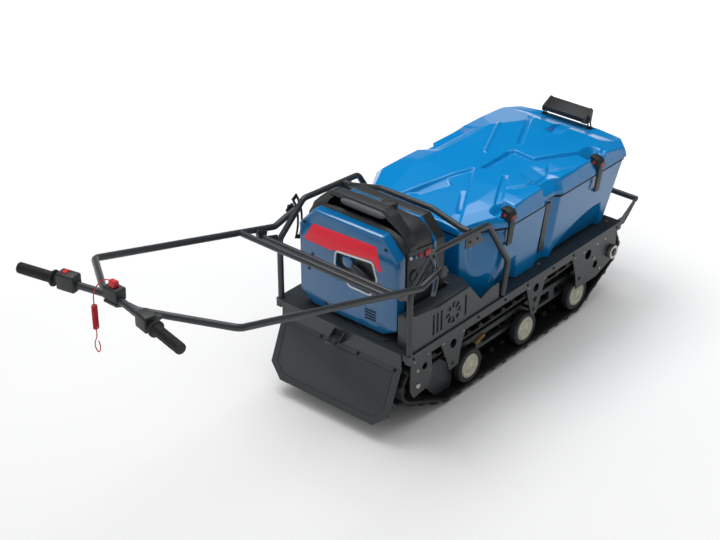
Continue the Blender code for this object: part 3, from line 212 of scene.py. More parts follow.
# %% Rubber, castings and lens
track_rubber = finish("moulded_track_rubber", "#17191B", 0.66, grain=2.5, depth=0.12, mottle=0.25, patch=25.0)
# The seal rubber is near black as painted shade: it makes the seam under the lid read as a dark line.
seam_shade_rubber = finish("extruded_rubber_painted_seam_shade", "#0E0F10", 0.75, grain=2.0, depth=0.03)
soft_touch = finish("soft_touch_elastomer", "#54575A", 0.60, grain=1.5, depth=0.02)
tyre_rubber = finish("pressed_tyre_rubber", "#2A2C2D", 0.62, grain=2.0, depth=0.06, mottle=0.15, patch=20.0)
lamp_casting = finish("anodised_die_casting", "#2A2C2F", 0.40, grain=1.8, depth=0.04, metallic=0.4)
lens_clear = finish("polycarbonate_lens", "#DDE6EA", 0.08, grain=3.0, depth=0.01, mottle=0.02,
                    sockets={"Transmission Weight": 0.85, "IOR": 1.58})
coil_polyurethane = finish("extruded_polyurethane_red", "#D01F2B", 0.32, grain=1.5, depth=0.01, mottle=0.05)
print("materials:", len(bpy.data.materials))

# %% [markdown]
# ## Shapes from formulas
#
# A part here is a pair: an array of points, and a list of face arrays. Parts can be stacked, moved
# and mirrored as whole arrays before one call turns them into a mesh. That call also welds points
# that fall together, such as the pole of a dome, and turns all faces outwards.

# %% Parts and pieces


def stack(*parts):
    """Several parts as one: points end to end, face numbers raised by the points before them."""
    starts = np.cumsum([0] + [len(points) for points, _ in parts[:-1]])
    points = np.concatenate([points for points, _ in parts])
    return points, [block + start for (_, blocks), start in zip(parts, starts) for block in blocks]


def moved(part, offset):
    """The part shifted by an offset."""
    return part[0] + np.asarray(offset, float), part[1]


def turned(part, matrix):
    """Every point multiplied by a 3 x 3 matrix."""
    return part[0] @ np.asarray(matrix, float).T, part[1]


def both_sides(part):
    """The part and its mirror image across the middle plane."""
    return stack(part, turned(part, np.diag([1.0, -1.0, 1.0])))


def copies(part, offsets):
    """One copy of the part for each row of offsets."""
    points, blocks = part
    offsets = np.asarray(offsets, float)
    shifts = np.arange(len(offsets)) * len(points)
    spread = (points[None] + offsets[:, None]).reshape(-1, 3)
    return spread, [(block[None] + shifts[:, None, None]).reshape(-1, block.shape[1]) for block in blocks]


def put(name, part, material, body, stands_for=(), sharp=35.0):
    """A part as a finished piece of the scene, riding on a body of the frame."""
    mesh = bpy.data.meshes.new(name)
    mesh.from_pydata((part[0] + SHIFT).tolist(), [], sum([block.tolist() for block in part[1]], []))
    bm = bmesh.new()
    bm.from_mesh(mesh)
    bmesh.ops.remove_doubles(bm, verts=bm.verts, dist=0.00002)
    bmesh.ops.dissolve_degenerate(bm, edges=bm.edges, dist=0.000005)
    bmesh.ops.recalc_face_normals(bm, faces=bm.faces)
    bm.to_mesh(mesh)
    bm.free()
    mesh.materials.append(material)
    mesh.shade_smooth()
    mesh.set_sharp_from_angle(angle=np.radians(sharp))
    piece = bpy.data.objects.new(name, mesh)
    bpy.context.scene.collection.objects.link(piece)
    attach(piece, body)
    if stands_for:
        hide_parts(*stands_for)
    return piece


# %% [markdown]
# Four shapes make nearly everything: a grid of points, a profile turned round an axis, a circle
# carried along a path, and a flat outline with some thickness. Each is one formula over whole
# arrays. An outline for soften has no corner on a straight edge, because such a corner has no arc.

# %% Surfaces


def sheet(points, wrap_u=False, wrap_v=False):
    """Quads between the neighbours of a grid of points, whose rows or columns may close on themselves."""
    rows, columns = points.shape[:2]
    number = np.arange(rows * columns).reshape(rows, columns)
    if wrap_u:
        number = np.vstack([number, number[:1]])
    if wrap_v:
        number = np.hstack([number, number[:, :1]])
    quads = np.stack([number[:-1, :-1], number[1:, :-1], number[1:, 1:], number[:-1, 1:]], -1).reshape(-1, 4)
    return points.reshape(-1, 3), [quads]


def tube(path, radius, up=(0, 0, 1), sides=20, squash=1.0):
    """A circle carried along a path: centre + r (cos a * side + sin a * top), with both ends closed."""
    path = np.asarray(path, float)
    along = np.gradient(path, axis=0)
    along /= np.linalg.norm(along, axis=1, keepdims=True)
    side = np.cross(np.asarray(up, float), along)
    side /= np.linalg.norm(side, axis=1, keepdims=True)
    top = np.cross(along, side)
    angle = np.linspace(0, 2 * np.pi, sides, endpoint=False)[None, :, None]
    radius = np.broadcast_to(radius, len(path))[:, None, None]
    ring = path[:, None] + radius * (np.cos(angle) * side[:, None] + squash * np.sin(angle) * top[:, None])
    ring = np.concatenate([np.repeat(path[:1, None], sides, 1), ring, np.repeat(path[-1:, None], sides, 1)])
    return sheet(ring, wrap_v=True)


AXES = {"X": np.array([[0, 0, 1], [1, 0, 0], [0, 1, 0]]), "Y": np.array([[1, 0, 0], [0, 0, 1], [0, 1, 0]]),
        "Z": np.eye(3)}


def lathe(profile, axis="Y", centre=(0, 0, 0), sides=32):
    """Rows of (radius, station) turned round an axis: (r cos a, r sin a, station) laid along the axis."""
    profile = np.asarray(profile, float)
    angle = np.linspace(0, 2 * np.pi, sides, endpoint=False)
    radius, station = profile[:, 0, None], profile[:, 1, None]
    ring = np.stack([radius * np.cos(angle), radius * np.sin(angle), station + 0 * angle], -1)
    return moved(sheet(ring @ AXES[axis].T, wrap_v=True), centre)


def offset(outline, distance):
    """The outline moved inwards: each corner slides along the mean of its two edge normals, mitred."""
    after = np.roll(outline, -1, 0)
    edge = after - outline
    edge /= np.linalg.norm(edge, axis=1, keepdims=True)
    normal = np.stack([-edge[:, 1], edge[:, 0]], 1)
    before = np.roll(normal, 1, 0)
    turn = np.sign(np.sum(outline[:, 0] * after[:, 1] - outline[:, 1] * after[:, 0]))
    share = distance / np.maximum(1 + np.sum(normal * before, 1), 0.4)
    return outline + turn * (normal + before) * share[:, None]


def soften(outline, radius, steps=4):
    """Every corner of the outline becomes an arc: a blend of the two directions from the arc's centre."""
    corner = np.asarray(outline, float)
    before, after = np.roll(corner, 1, 0) - corner, np.roll(corner, -1, 0) - corner
    before /= np.linalg.norm(before, axis=1, keepdims=True)
    after /= np.linalg.norm(after, axis=1, keepdims=True)
    half = np.clip(np.arccos(np.clip(np.sum(before * after, 1), -1, 1)) / 2, 0.05, np.pi / 2 - 0.02)[:, None]
    middle = before + after
    centre = corner + middle / np.linalg.norm(middle, axis=1, keepdims=True) * radius / np.sin(half)
    first = corner + before * radius / np.tan(half) - centre
    last = corner + after * radius / np.tan(half) - centre
    t = np.linspace(0, 1, steps + 1)[None, :, None]
    spoke = first[:, None] * (1 - t) + last[:, None] * t
    spoke *= radius / np.linalg.norm(spoke, axis=2, keepdims=True)
    return (centre[:, None] + spoke).reshape(-1, corner.shape[1])


def slab(outline, low, high, axis="Z", edge=0.001):
    """A flat outline from low to high along an axis, its rims rolled in by a quarter circle."""
    outline = np.asarray(outline, float)
    turn = np.radians([0, 30, 60, 90])
    inset, rise = edge * (1 - np.sin(turn)), edge * (1 - np.cos(turn))
    insets, levels = np.concatenate([inset, inset[::-1]]), np.concatenate([low + rise, high - rise[::-1]])
    rings = np.stack([np.column_stack([offset(outline, d), np.full(len(outline), z)])
                      for d, z in zip(insets, levels)])
    points, blocks = sheet(rings @ AXES[axis].T, wrap_v=True)
    around = np.arange(len(outline))
    return points, [*blocks, around[None], (around + 7 * len(outline))[None]]


def bent(points, radius, steps=8):
    """A path through the points with its inner corners turned into arcs of one radius."""
    points = np.asarray(points, float)
    loop = soften(points, radius, steps).reshape(len(points), steps + 1, -1)
    return np.concatenate([points[:1], loop[1:-1].reshape(-1, points.shape[1]), points[-1:]])


def rectangle(half_u, half_v):
    """The four corners of a rectangle round the origin."""
    return [(-half_u, -half_v), (half_u, -half_v), (half_u, half_v), (-half_u, half_v)]


def closed(line):
    """The line with its first point again at its end."""
    return np.vstack([line, line[:1]])


def with_image(half, column=1):
    """Half a line of corners, then its mirror image in reverse, whose sign is turned in one column."""
    half = np.asarray(half, float)
    flip = np.where(np.arange(half.shape[1]) == column, -1.0, 1.0)
    return np.concatenate([half, half[::-1] * flip])


# %% [markdown]
# ## The lanyard
#
# The cord is settled first, as its length decides whether it fits. It leaves the clip on the kill
# switch, drops behind the bar, winds through a curly part and ends in a small wrist loop. The
# straight parts follow listed points through a smooth curve, and the curls are a helix:
# (x + r cos a, y + r sin a, z), with z falling by one pitch each turn.

# %% Lanyard
CORD_R = 0.0016
COIL_R = 0.0069
COIL_AT = np.array([-0.921, 0.045])
COIL_TOP = 0.768
COIL_FOOT = 0.690
COIL_TURNS = 19
CLIP_Z = 0.790 + 0.033 + GAP


def smooth(points, count):
    """A smooth curve through the points: on each span a cubic whose slopes follow its neighbours."""
    p = np.asarray(points, float)
    p = np.vstack([2 * p[0] - p[1], p, 2 * p[-1] - p[-2]])
    place = np.linspace(0, len(p) - 3 - 1e-9, count + 1)
    i = place.astype(int)
    t = (place - i)[:, None]
    a, b, c, d = (p[i + k] for k in range(4))
    return 0.5 * (2 * b + (c - a) * t + (2 * a - 5 * b + 4 * c - d) * t**2 + (3 * b - a - 3 * c + d) * t**3)


x, y = COIL_AT
lead = smooth([(-0.888, 0.0103, CLIP_Z + 0.010), (-0.889, 0.022, CLIP_Z + 0.012),
               (-0.897, 0.034, CLIP_Z + 0.008), (-0.910, 0.042, CLIP_Z - 0.006),
               (-0.918, 0.045, CLIP_Z - 0.020), (x, y, COIL_TOP + 0.018), (x, y, COIL_TOP + 0.002)], 40)
share = np.linspace(0, 1, COIL_TURNS * 20)
reach = COIL_R * np.minimum(1, np.minimum(share, 1 - share) * COIL_TURNS / 0.6)
turn = 2 * np.pi * COIL_TURNS * share
coil = np.stack([x + reach * np.cos(turn), y + reach * np.sin(turn),
                 COIL_TOP - 0.002 + (COIL_FOOT + 0.004 - COIL_TOP) * share], 1)
loop = smooth([(x, y, COIL_FOOT - 0.002), (x, y, 0.674), (x, y + 0.003, 0.662), (x, y + 0.010, 0.646),
               (x, y + 0.009, 0.631), (x, y, 0.622), (x, y - 0.009, 0.631), (x, y - 0.010, 0.646),
               (x, y - 0.005, 0.658)], 60)
route = np.concatenate([lead, coil, loop])
route = route[np.concatenate([[True], np.linalg.norm(np.diff(route, axis=0), axis=1) > 0.0002])]
cord = put("lanyard", tube(route, CORD_R, up=(0.31, 0.17, 0.93), sides=10), coil_polyurethane, "handle",
           ["lanyard_lead", "lanyard_coil", "lanyard_loop"])

# %% [markdown]
# Plates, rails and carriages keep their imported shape, with all its holes. A copy is welded, its
# flat triangles are joined back into whole faces, and a small bevel rounds what is left of the
# edges, as powder coat does on laser-cut steel.

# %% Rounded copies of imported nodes


def dressed(node, material, edge=0.0010):
    """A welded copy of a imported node, its flat faces joined up and its edges rounded by the given radius."""
    source = frame["nodes"][node]
    mesh = source.data.copy()
    bm = bmesh.new()
    bm.from_mesh(mesh)
    bmesh.ops.remove_doubles(bm, verts=bm.verts, dist=0.00002)
    bmesh.ops.dissolve_limit(bm, angle_limit=np.radians(1.0), verts=bm.verts, edges=bm.edges)
    bm.to_mesh(mesh)
    bm.free()
    mesh.materials.clear()
    mesh.materials.append(material)
    mesh.shade_smooth()
    mesh.set_sharp_from_angle(angle=np.radians(38))
    piece = bpy.data.objects.new(f"{node}_finish", mesh)
    bpy.context.scene.collection.objects.link(piece)
    rounding = piece.modifiers.new("edge", "BEVEL")
    rounding.width = edge
    rounding.segments = 2
    rounding.limit_method = "ANGLE"
    rounding.angle_limit = np.radians(38)
    rounding.harden_normals = True
    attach(piece, source["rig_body"])
    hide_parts(node)
    return piece


for node in ("deck", "rail_left", "rail_right", "carriage_left", "carriage_right", "quadrant_left",
             "quadrant_right", "tray", "tie_bar_left", "tie_bar_right", "hitch", "pivot_tube", "drive_axle",
             "side_plate"):
    dressed(node, powder_coat)
dressed("drive_motor", abs_black)
dressed("gen_rear_shell", shell_blue, edge=0.0015)
print("plates keep their packed shape, the rest is worked out below")

# %% [markdown]
# ## Fasteners
#
# Dozens of bolts hold the frame. Each is a washer and a hexagon head with its corners turned down:
# a profile turned round the bolt's axis, with six sides for the head. They are laid out as arrays of
# places, so one call makes a whole row.

# %% Bolts


def bolt(size, axis):
    """A washer and a domed hexagon head for a thread of this size, standing on the plane at the origin."""
    washer = lathe([(0, 0), (1.15 * size, 0), (1.15 * size, 0.12 * size), (1.0 * size, 0.18 * size),
                    (0, 0.18 * size)], axis, sides=20)
    head = lathe([(0, 0.15 * size), (0.90 * size, 0.15 * size), (0.92 * size, 0.66 * size),
                  (0.78 * size, 0.80 * size), (0, 0.84 * size)], axis, sides=6)
    return stack(washer, head)


# %% [markdown]
# ## The track
#
# The belt is one loop of rubber. On the real one, steel-stiffened lugs cross its whole width at
# every pitch, guide lugs stand on its inner face, and steel clips line the two rows where the
# sprockets bite. All of that could be modelled in place on the curve, but it is far easier to model
# it flat, as distance along the belt, distance across it and height over its face, and then to wrap
# the flat points round the belt's line.

# %% The belt's line
BELT_HALF = 0.250
BELT_THICK = 0.010
LUG_HEIGHT = 0.016
LUG_PITCH = 0.060
TOP_SAG = 0.016
WHEEL_R = 0.059
WHEEL_Z = LUG_HEIGHT + BELT_THICK + GAP + WHEEL_R
WHEEL_X = (0.330, 0.628, 0.926)
IDLER_AT = (0.047, 0.157)
SPROCKET_AT = (1.103, 0.183)
CIRCLES = np.array([[*IDLER_AT, 0.0547], [0.215, WHEEL_Z, WHEEL_R], [WHEEL_X[-1], WHEEL_Z, WHEEL_R],
                    [*SPROCKET_AT, 0.0557]])


def belt_line():
    """Arcs round four circles, joined by their outer tangents, with a shallow parabola for the top run."""
    x, z, radius = CIRCLES.T
    radius = radius + BELT_THICK + GAP
    across, rise = np.roll(x, -1) - x, np.roll(z, -1) - z
    touch = np.arctan2(rise, across) - np.pi / 2
    touch -= np.arcsin((np.roll(radius, -1) - radius) / np.hypot(across, rise))
    first = np.roll(touch, 1)
    last = touch + 2 * np.pi * (touch < first)
    angle = first[:, None] + (last - first)[:, None] * np.linspace(0, 1, 40)
    line = np.stack([x[:, None] + radius[:, None] * np.cos(angle),
                     z[:, None] + radius[:, None] * np.sin(angle)], -1)
    line = line.reshape(-1, 2)
    t = np.linspace(0, 1, 42)[1:-1, None]
    slack = line[-1] + (line[0] - line[-1]) * t - 4 * TOP_SAG * t * (1 - t) * np.array([0.0, 1.0])
    return np.concatenate([line, slack, line[:1]])


LINE = belt_line()
ALONG = np.concatenate([[0], np.cumsum(np.linalg.norm(np.diff(LINE, axis=0), axis=1))])
LUGS = round(ALONG[-1] / LUG_PITCH)
PITCH = ALONG[-1] / LUGS


def on_line(s):
    """The point of the belt's line at a distance s along it."""
    return np.stack([np.interp(s % ALONG[-1], ALONG, LINE[:, k]) for k in (0, 1)], -1)


def wrapped(part):
    """Flat points (along, across, height) laid on the belt: line(along) + height * its outward normal."""
    s, y, h = part[0].T
    run = on_line(s + 0.004) - on_line(s - 0.004)
    run /= np.linalg.norm(run, axis=1, keepdims=True)
    place = on_line(s)
    return np.stack([place[:, 0] + run[:, 1] * h, y, place[:, 1] - run[:, 0] * h], 1), part[1]


print("belt length:", round(ALONG[-1], 3), "m, lugs:", LUGS, "pitch:", round(PITCH * 1000, 1), "mm")

# %% [markdown]
# The carcass and its lugs are one closed grid: once round the belt, and once round its cross
# section. A lug is a ridge with sloping flanks, and shallow notches, staggered from one lug to the
# next, divide it into the paddles that bite into snow.

# %% Belt carcass and lugs
LUG_FOOT, LUG_FLANK = 0.185, 0.085
NOTCH_PITCH, NOTCH_HALF, NOTCH_DEPTH = 0.10, 0.10, 0.42
STEPS = np.array([-0.5, -0.34, -0.24, -0.185, -0.16, -0.105, -0.075, 0, 0.075, 0.105, 0.16, 0.185, 0.24,
                  0.34])
OUTER = np.linspace(-0.2485, 0.2485, 73)
EDGE = np.array([[0.2496, -0.0008], [BELT_HALF, -0.003], [BELT_HALF, -0.007], [0.2496, -0.0092]])
INNER = np.linspace(0.2485, -0.2485, 25)

lug = np.repeat(np.arange(LUGS), len(STEPS))
share = np.tile(STEPS, LUGS)
across = np.concatenate([OUTER, EDGE[:, 0], INNER, -EDGE[::-1, 0]])
level = np.concatenate([0 * OUTER, EDGE[:, 1], 0 * INNER - BELT_THICK, EDGE[::-1, 1]])
ridge = np.clip((LUG_FOOT - abs(share)) / LUG_FLANK, 0, 1) ** 0.8
notch_at = (across[None] / NOTCH_PITCH + 0.5 * (lug[:, None] % 2)) % 1.0
notch = np.clip(1 - abs(notch_at - 0.5) / NOTCH_HALF, 0, 1)
taper = np.clip((0.262 - abs(across)) / 0.030, 0, 1)
lift = LUG_HEIGHT * ridge[:, None] * (1 - NOTCH_DEPTH * notch) * taper * (level == 0)
flat = np.stack([np.broadcast_to(((lug + 0.5 + share) * PITCH)[:, None], lift.shape),
                 np.broadcast_to(across, lift.shape), level + lift], -1)
points, blocks = sheet(flat, wrap_u=True, wrap_v=True)
put("belt", wrapped((points, blocks)), track_rubber, "chassis", ["track"], sharp=50)
print("belt quads:", len(blocks[0]))

# %% [markdown]
# The guide lugs are small tapered blocks inside the belt, one each side at every pitch, which keep
# it between the wheels. The clips are bent steel strips, pressed round the belt at each drive row.

# %% Guide lugs and clips
GUIDE_Y = 0.186
GUIDE_TAPER = 12.0
DRIVE_Y = 0.104
row = (np.arange(LUGS) + 0.5) * PITCH
foot = soften(rectangle(0.011, 0.012), 0.003, 3)
guide = slab(foot, 0, 0.019, edge=0.003)
taper = 1 - GUIDE_TAPER * guide[0][:, 2]
guide = (guide[0] * [1, 1, -1] * np.column_stack([taper, taper, np.ones(len(taper))]), guide[1])
places = np.column_stack([np.tile(row, 2), np.repeat([GUIDE_Y, -GUIDE_Y], LUGS),
                          np.full(2 * LUGS, -BELT_THICK)])
put("guide_lugs", wrapped(copies(guide, places)), track_rubber, "chassis")

strip = soften(rectangle(0.008, 0.017), 0.002, 3)
clip = slab(strip, -BELT_THICK - 0.0014, 0.0014, edge=0.0008)
places = np.column_stack([np.tile(row + PITCH / 2, 2), np.repeat([DRIVE_Y, -DRIVE_Y], LUGS),
                          np.zeros(2 * LUGS)])
put("belt_clips", wrapped(copies(clip, places)), bright_zinc, "chassis")

# %% [markdown]
# ## Wheels
#
# A road wheel is a pressed steel disc with a rubber tyre vulcanised round it. Both are turned
# profiles. The disc's rings, and the ring of small rivets, are what the eye reads as a wheel rather
# than a knob, and its yellow zinc is the brightest thing on the underside.

# %% Road wheels
WHEEL_Y = 0.2345
tyre = [(0.0410, 0.0100), (0.0435, 0.0118), (0.0520, 0.0125), (0.0560, 0.0115), (0.0584, 0.0090),
        (WHEEL_R, 0.0045)]
tyre = with_image(tyre)
disc = [(0.0, 0.0160), (0.0085, 0.0160), (0.0105, 0.0148), (0.0110, 0.0112), (0.0170, 0.0108),
        (0.0190, 0.0078), (0.0270, 0.0070), (0.0290, 0.0100), (0.0320, 0.0120), (0.0350, 0.0116),
        (0.0364, 0.0084), (0.0386, 0.0082), (0.0404, 0.0120), (0.0416, 0.0104), (0.0416, -0.0100),
        (0.0, -0.0100)]
rivet = lathe([(0.0, 0.0112), (0.0018, 0.0108), (0.0028, 0.0094), (0.0028, 0.0070)], sides=12)
turn = np.linspace(0, 2 * np.pi, 6, endpoint=False)
rivets = copies(rivet, np.stack([0.0230 * np.cos(turn), 0 * turn, 0.0230 * np.sin(turn)], 1))
axle = lathe(with_image([(0.0, 0.2470), (0.0075, 0.2470), (0.0088, 0.2455)]))
for number, x in enumerate(WHEEL_X, start=1):
    place = (x, WHEEL_Y, WHEEL_Z)
    put(f"road_tyres_{number}", both_sides(moved(lathe(closed(tyre), sides=64), place)), tyre_rubber,
        "chassis", [f"wheel_axle_{number}"])
    put(f"road_discs_{number}", both_sides(moved(stack(lathe(disc, sides=48), rivets), place)), cream_zinc,
        "chassis")
    put(f"axle_{number}", moved(axle, (x, 0, WHEEL_Z)), bright_zinc, "chassis")

# %% [markdown]
# The idler at the rear carries two rubber-faced drums, and the drive shaft ends in a bearing on
# each side, whose bright outer ring shows in the front plate.

# %% Idler drums and drive bearings
drum = [(0.0095, 0.171), (0.020, 0.171), (0.022, 0.165), (0.048, 0.164), (0.0525, 0.1615), (0.0547, 0.158),
        (0.0547, 0.142), (0.0525, 0.1385), (0.048, 0.136), (0.022, 0.135), (0.020, 0.129), (0.0095, 0.129)]
put("idler_drums", both_sides(lathe(closed(drum), centre=(IDLER_AT[0], 0, IDLER_AT[1]), sides=48)),
    tyre_rubber, "chassis", ["idler_axle"])
idler_pin = with_image([(0.0, 0.262), (0.0080, 0.262), (0.0088, 0.2605)])
put("idler_shaft", lathe(idler_pin, centre=(IDLER_AT[0], 0, IDLER_AT[1])), bright_zinc, "chassis")
race = [(0.0150, 0.2702), (0.0150, 0.2722), (0.0190, 0.2730), (0.0240, 0.2722), (0.0246, 0.2700),
        (0.0246, 0.2600), (0.0150, 0.2600)]
put("bearing_rings", both_sides(lathe(closed(race), centre=(SPROCKET_AT[0], 0, SPROCKET_AT[1]),
                                      sides=40)), bright_zinc, "chassis")

# %% [markdown]
# ## Tubes
#
# The roll frame, the handle and the bumper are bent tube. A bender puts the same radius in every
# corner, so each frame is a list of the corners a fitter would measure, an arc at each, and a circle
# carried along the path.

# %% Roll frame
CAGE_Y = 0.2615
CAGE_R = 0.0098
RAIL_TOP = 0.292
CAGE_LINE = ((0.0, RAIL_TOP + GAP), (0.0, 0.500), (0.111, 0.599), (0.371, 0.583), (0.485, 0.410),
             (0.4625, 0.2955))
side_path = bent([(x, CAGE_Y, z) for x, z in CAGE_LINE], 0.028)
for name, side in SIDES:
    path = side_path * [1, side, 1]
    put(f"roll_tube_{name}", tube(path, CAGE_R, up=(0, 1, 0), sides=24), powder_coat, "chassis",
        [f"cage_{name}"])
arch_half = [(0.294, 0.2510, 0.5878), (0.294, 0.2215, 0.5878), (0.294, 0.101, 0.617)]
put("roll_arch", tube(bent(with_image(arch_half), 0.022), CAGE_R, up=(1, 0, 0), sides=24), powder_coat,
    "chassis", ["cage_arch"])

# %% [markdown]
# The handle's arms run from the quadrants back to the bar as one U. The crossbar, the pivot ears and
# the bar's saddle are welded to it, so they are all one piece, which rides on the handle body.

# %% Handle frame
ARM_Y = 0.292
ARM_R = 0.0103
BAR_Z = 0.790
PIVOT = (-0.060, 0.526)
SLOT_AT = (0.103, 0.553)
arm = [(SLOT_AT[0], ARM_Y, SLOT_AT[1]), (0.010, ARM_Y, 0.529), (-0.717, ARM_Y - 0.012, 0.730),
       (-0.868, 0.062, BAR_Z - 0.024)]
frame_path = bent(with_image(arm), 0.035)
CROSSBAR_X = -0.145
cross_z = np.interp(CROSSBAR_X, (arm[2][0], arm[1][0]), (arm[2][2], arm[1][2]))
crossbar = tube([(CROSSBAR_X, y, cross_z) for y in (-ARM_Y, 0, ARM_Y)], 0.0094)
ear = soften([(PIVOT[0] - 0.014, PIVOT[1] - 0.007), (PIVOT[0] + 0.014, PIVOT[1] - 0.007),
              (PIVOT[0] + 0.022, 0.540), (PIVOT[0] - 0.026, 0.561)], 0.005)
saddle = soften([(-0.906, BAR_Z - 0.014), (-0.860, BAR_Z - 0.030), (-0.860, BAR_Z - 0.018),
                 (-0.878, BAR_Z - 0.006), (-0.906, BAR_Z - 0.006)], 0.002)
put("handle_tubes", stack(tube(frame_path, ARM_R, sides=24), crossbar,
                          both_sides(slab(ear, 0.275, 0.287, "Y")), slab(saddle, -0.024, 0.024, "Y")),
    powder_coat, "handle", ["handle_frame"])

# %% [markdown]
# The handlebar lies in the saddle. It is swept back on each side of a straight middle, and its bends
# are wider than those of the frame.

# %% Handlebar
BAR_MID = (-0.892, 0.040)
BAR_END = (-0.948, 0.305)
BAR_R = 0.0103
bar = [(*BAR_END, BAR_Z), (*BAR_MID, BAR_Z)]
bar_path = bent(with_image(bar), 0.060, steps=14)
put("bar", tube(bar_path, BAR_R, sides=24), powder_coat, "handle", ["handlebar"])
print("handle reaches back to x =", round(float(frame_path[:, 0].min() + SHIFT[0]), 3))

# %% [markdown]
# ## The cargo box
#
# Lid and body are rotationally moulded, so every face is a gentle facet and every edge is soft. The
# lid is a height field: base height from a table of stations, facets as the lower of two surfaces,
# and grooves and steps as functions of the distance to a drawn line. It is worked out on a whole grid
# and smoothed once, which gives each crease a radius as the mould does.

# %% Lid outline and base height
SEAM = 0.5353
STATIONS = np.array([
    # x, half width at the lip, then y and z of: left foot, left shoulder, right foot, right shoulder, crest
    (0.322, 0.190, 0.188, 0.557, 0.180, 0.563, 0.188, 0.554, 0.180, 0.566, 0.120, 0.572),
    (0.377, 0.212, 0.209, 0.557, 0.194, 0.571, 0.210, 0.553, 0.202, 0.571, 0.125, 0.579),
    (0.470, 0.268, 0.262, 0.557, 0.240, 0.578, 0.266, 0.550, 0.252, 0.580, 0.150, 0.592),
    (0.560, 0.268, 0.262, 0.557, 0.234, 0.584, 0.266, 0.551, 0.256, 0.592, 0.150, 0.603),
    (0.640, 0.268, 0.262, 0.557, 0.232, 0.585, 0.266, 0.551, 0.257, 0.595, 0.150, 0.605),
    (0.660, 0.268, 0.205, 0.557, 0.177, 0.597, 0.266, 0.551, 0.257, 0.595, 0.145, 0.605),
    (0.690, 0.252, 0.203, 0.557, 0.175, 0.598, 0.250, 0.551, 0.220, 0.584, 0.142, 0.605),
    (0.747, 0.252, 0.203, 0.557, 0.175, 0.598, 0.250, 0.551, 0.220, 0.584, 0.142, 0.605),
    (0.766, 0.268, 0.204, 0.557, 0.176, 0.598, 0.266, 0.551, 0.252, 0.590, 0.142, 0.605),
    (0.872, 0.268, 0.206, 0.557, 0.178, 0.597, 0.266, 0.551, 0.256, 0.593, 0.142, 0.605),
    (0.890, 0.268, 0.262, 0.557, 0.232, 0.585, 0.266, 0.551, 0.256, 0.593, 0.145, 0.605),
    (1.000, 0.268, 0.262, 0.557, 0.233, 0.584, 0.266, 0.551, 0.257, 0.591, 0.150, 0.603),
    (1.080, 0.268, 0.262, 0.557, 0.234, 0.580, 0.266, 0.551, 0.256, 0.584, 0.140, 0.598),
    (1.136, 0.268, 0.262, 0.557, 0.240, 0.569, 0.266, 0.551, 0.254, 0.576, 0.140, 0.577),
    (1.192, 0.218, 0.214, 0.557, 0.204, 0.564, 0.216, 0.551, 0.206, 0.566, 0.120, 0.5735)])
LID_REAR, LID_NOSE = STATIONS[[0, -1], 0]
LIP_THICK = 0.005
LEFT_LIP = SEAM + 0.019
RIGHT_LIP = SEAM + 0.009
EASE = np.array([0, 0.0005, 0.0012, 0.0021, 0.0031, 0.0042, 0.0055, 0.0068, 0.0081, 0.0095, 0.011, 0.013,
                 0.0165])


def lip(x):
    """Half the lid's width at its lip, between the stations on a straight line."""
    return np.interp(x, STATIONS[:, 0], STATIONS[:, 1])


def base_height(x, y):
    """The lip's height plus three ramps clipped to 0..1: to the foot, to the shoulder, to the crest."""
    at = [np.interp(x, STATIONS[:, 0], column) for column in STATIONS.T[1:]]
    sides = zip(at[1:5], at[5:9])
    foot, foot_z, shoulder, shoulder_z = (np.where(y > 0, left, right) for left, right in sides)
    lip_z = np.where(y > 0, LEFT_LIP, RIGHT_LIP)
    corners = ((at[0], lip_z), (foot, foot_z), (shoulder, shoulder_z), (at[9], at[10]))
    height = lip_z.copy()
    for (outer, low), (inner, high) in zip(corners[:-1], corners[1:]):
        height += (high - low) * np.clip((outer - abs(y)) / (outer - inner), 0, 1)
    return height


long_x = np.concatenate([LID_REAR + EASE[::2], np.linspace(0.342, 1.172, 348), LID_NOSE - EASE[::-2]])
cross = np.concatenate([-1 + EASE / 0.268, np.linspace(-0.928, 0.928, 196), 1 - EASE[::-1] / 0.268])
X = np.repeat(long_x[:, None], len(cross), 1)
Y = lip(long_x)[:, None] * cross[None]
print("lid grid:", X.shape)

# %% [markdown]
# Two functions draw on that field. One gives each grid point its distance to a line of corners and
# the side it lies on; the other turns a plane through three points into a height, so that a facet is
# simply the lower of the lid and that plane.

# %% Drawing on a height field


def to_line(x, y, corners):
    """Distance to the nearest point of a line of corners, positive on its right-hand side."""
    a, b = np.array(corners[:-1], float), np.array(corners[1:], float)
    run = b - a
    from_a = np.stack([x, y], -1)[..., None, :] - a
    t = np.clip((from_a * run).sum(-1) / (run * run).sum(-1), 0, 1)
    gap = from_a - t[..., None] * run
    far = np.linalg.norm(gap, axis=-1)
    nearest = np.argmin(far, -1)[..., None]
    turn = run[:, 0] * gap[..., 1] - run[:, 1] * gap[..., 0]
    side = np.where(np.take_along_axis(turn, nearest, -1) < 0, 1.0, -1.0)[..., 0]
    return np.take_along_axis(far, nearest, -1)[..., 0] * side


def plane(x, y, *corners):
    """The height at (x, y) of the plane through three corners (x, y, z)."""
    a, b, c = np.array(corners, float)
    normal = np.cross(b - a, c - a)
    return a[2] - (normal[0] * (x - a[0]) + normal[1] * (y - a[1])) / normal[2]


def step(x, y, corners, depth, wall=0.004, ramp=0.025):
    """A drop of the given depth just right of the line, which ramps back up to nothing."""
    s = to_line(x, y, corners)
    return -depth * np.clip(s / wall, 0, 1) * np.clip(1 - (s - wall) / ramp, 0, 1)


def channel(x, y, corners, depth, width, wall=0.004):
    """A groove (or with a negative depth a rib) of even width along the line."""
    return -depth * np.clip((width / 2 - abs(to_line(x, y, corners))) / wall + 0.5, 0, 1)


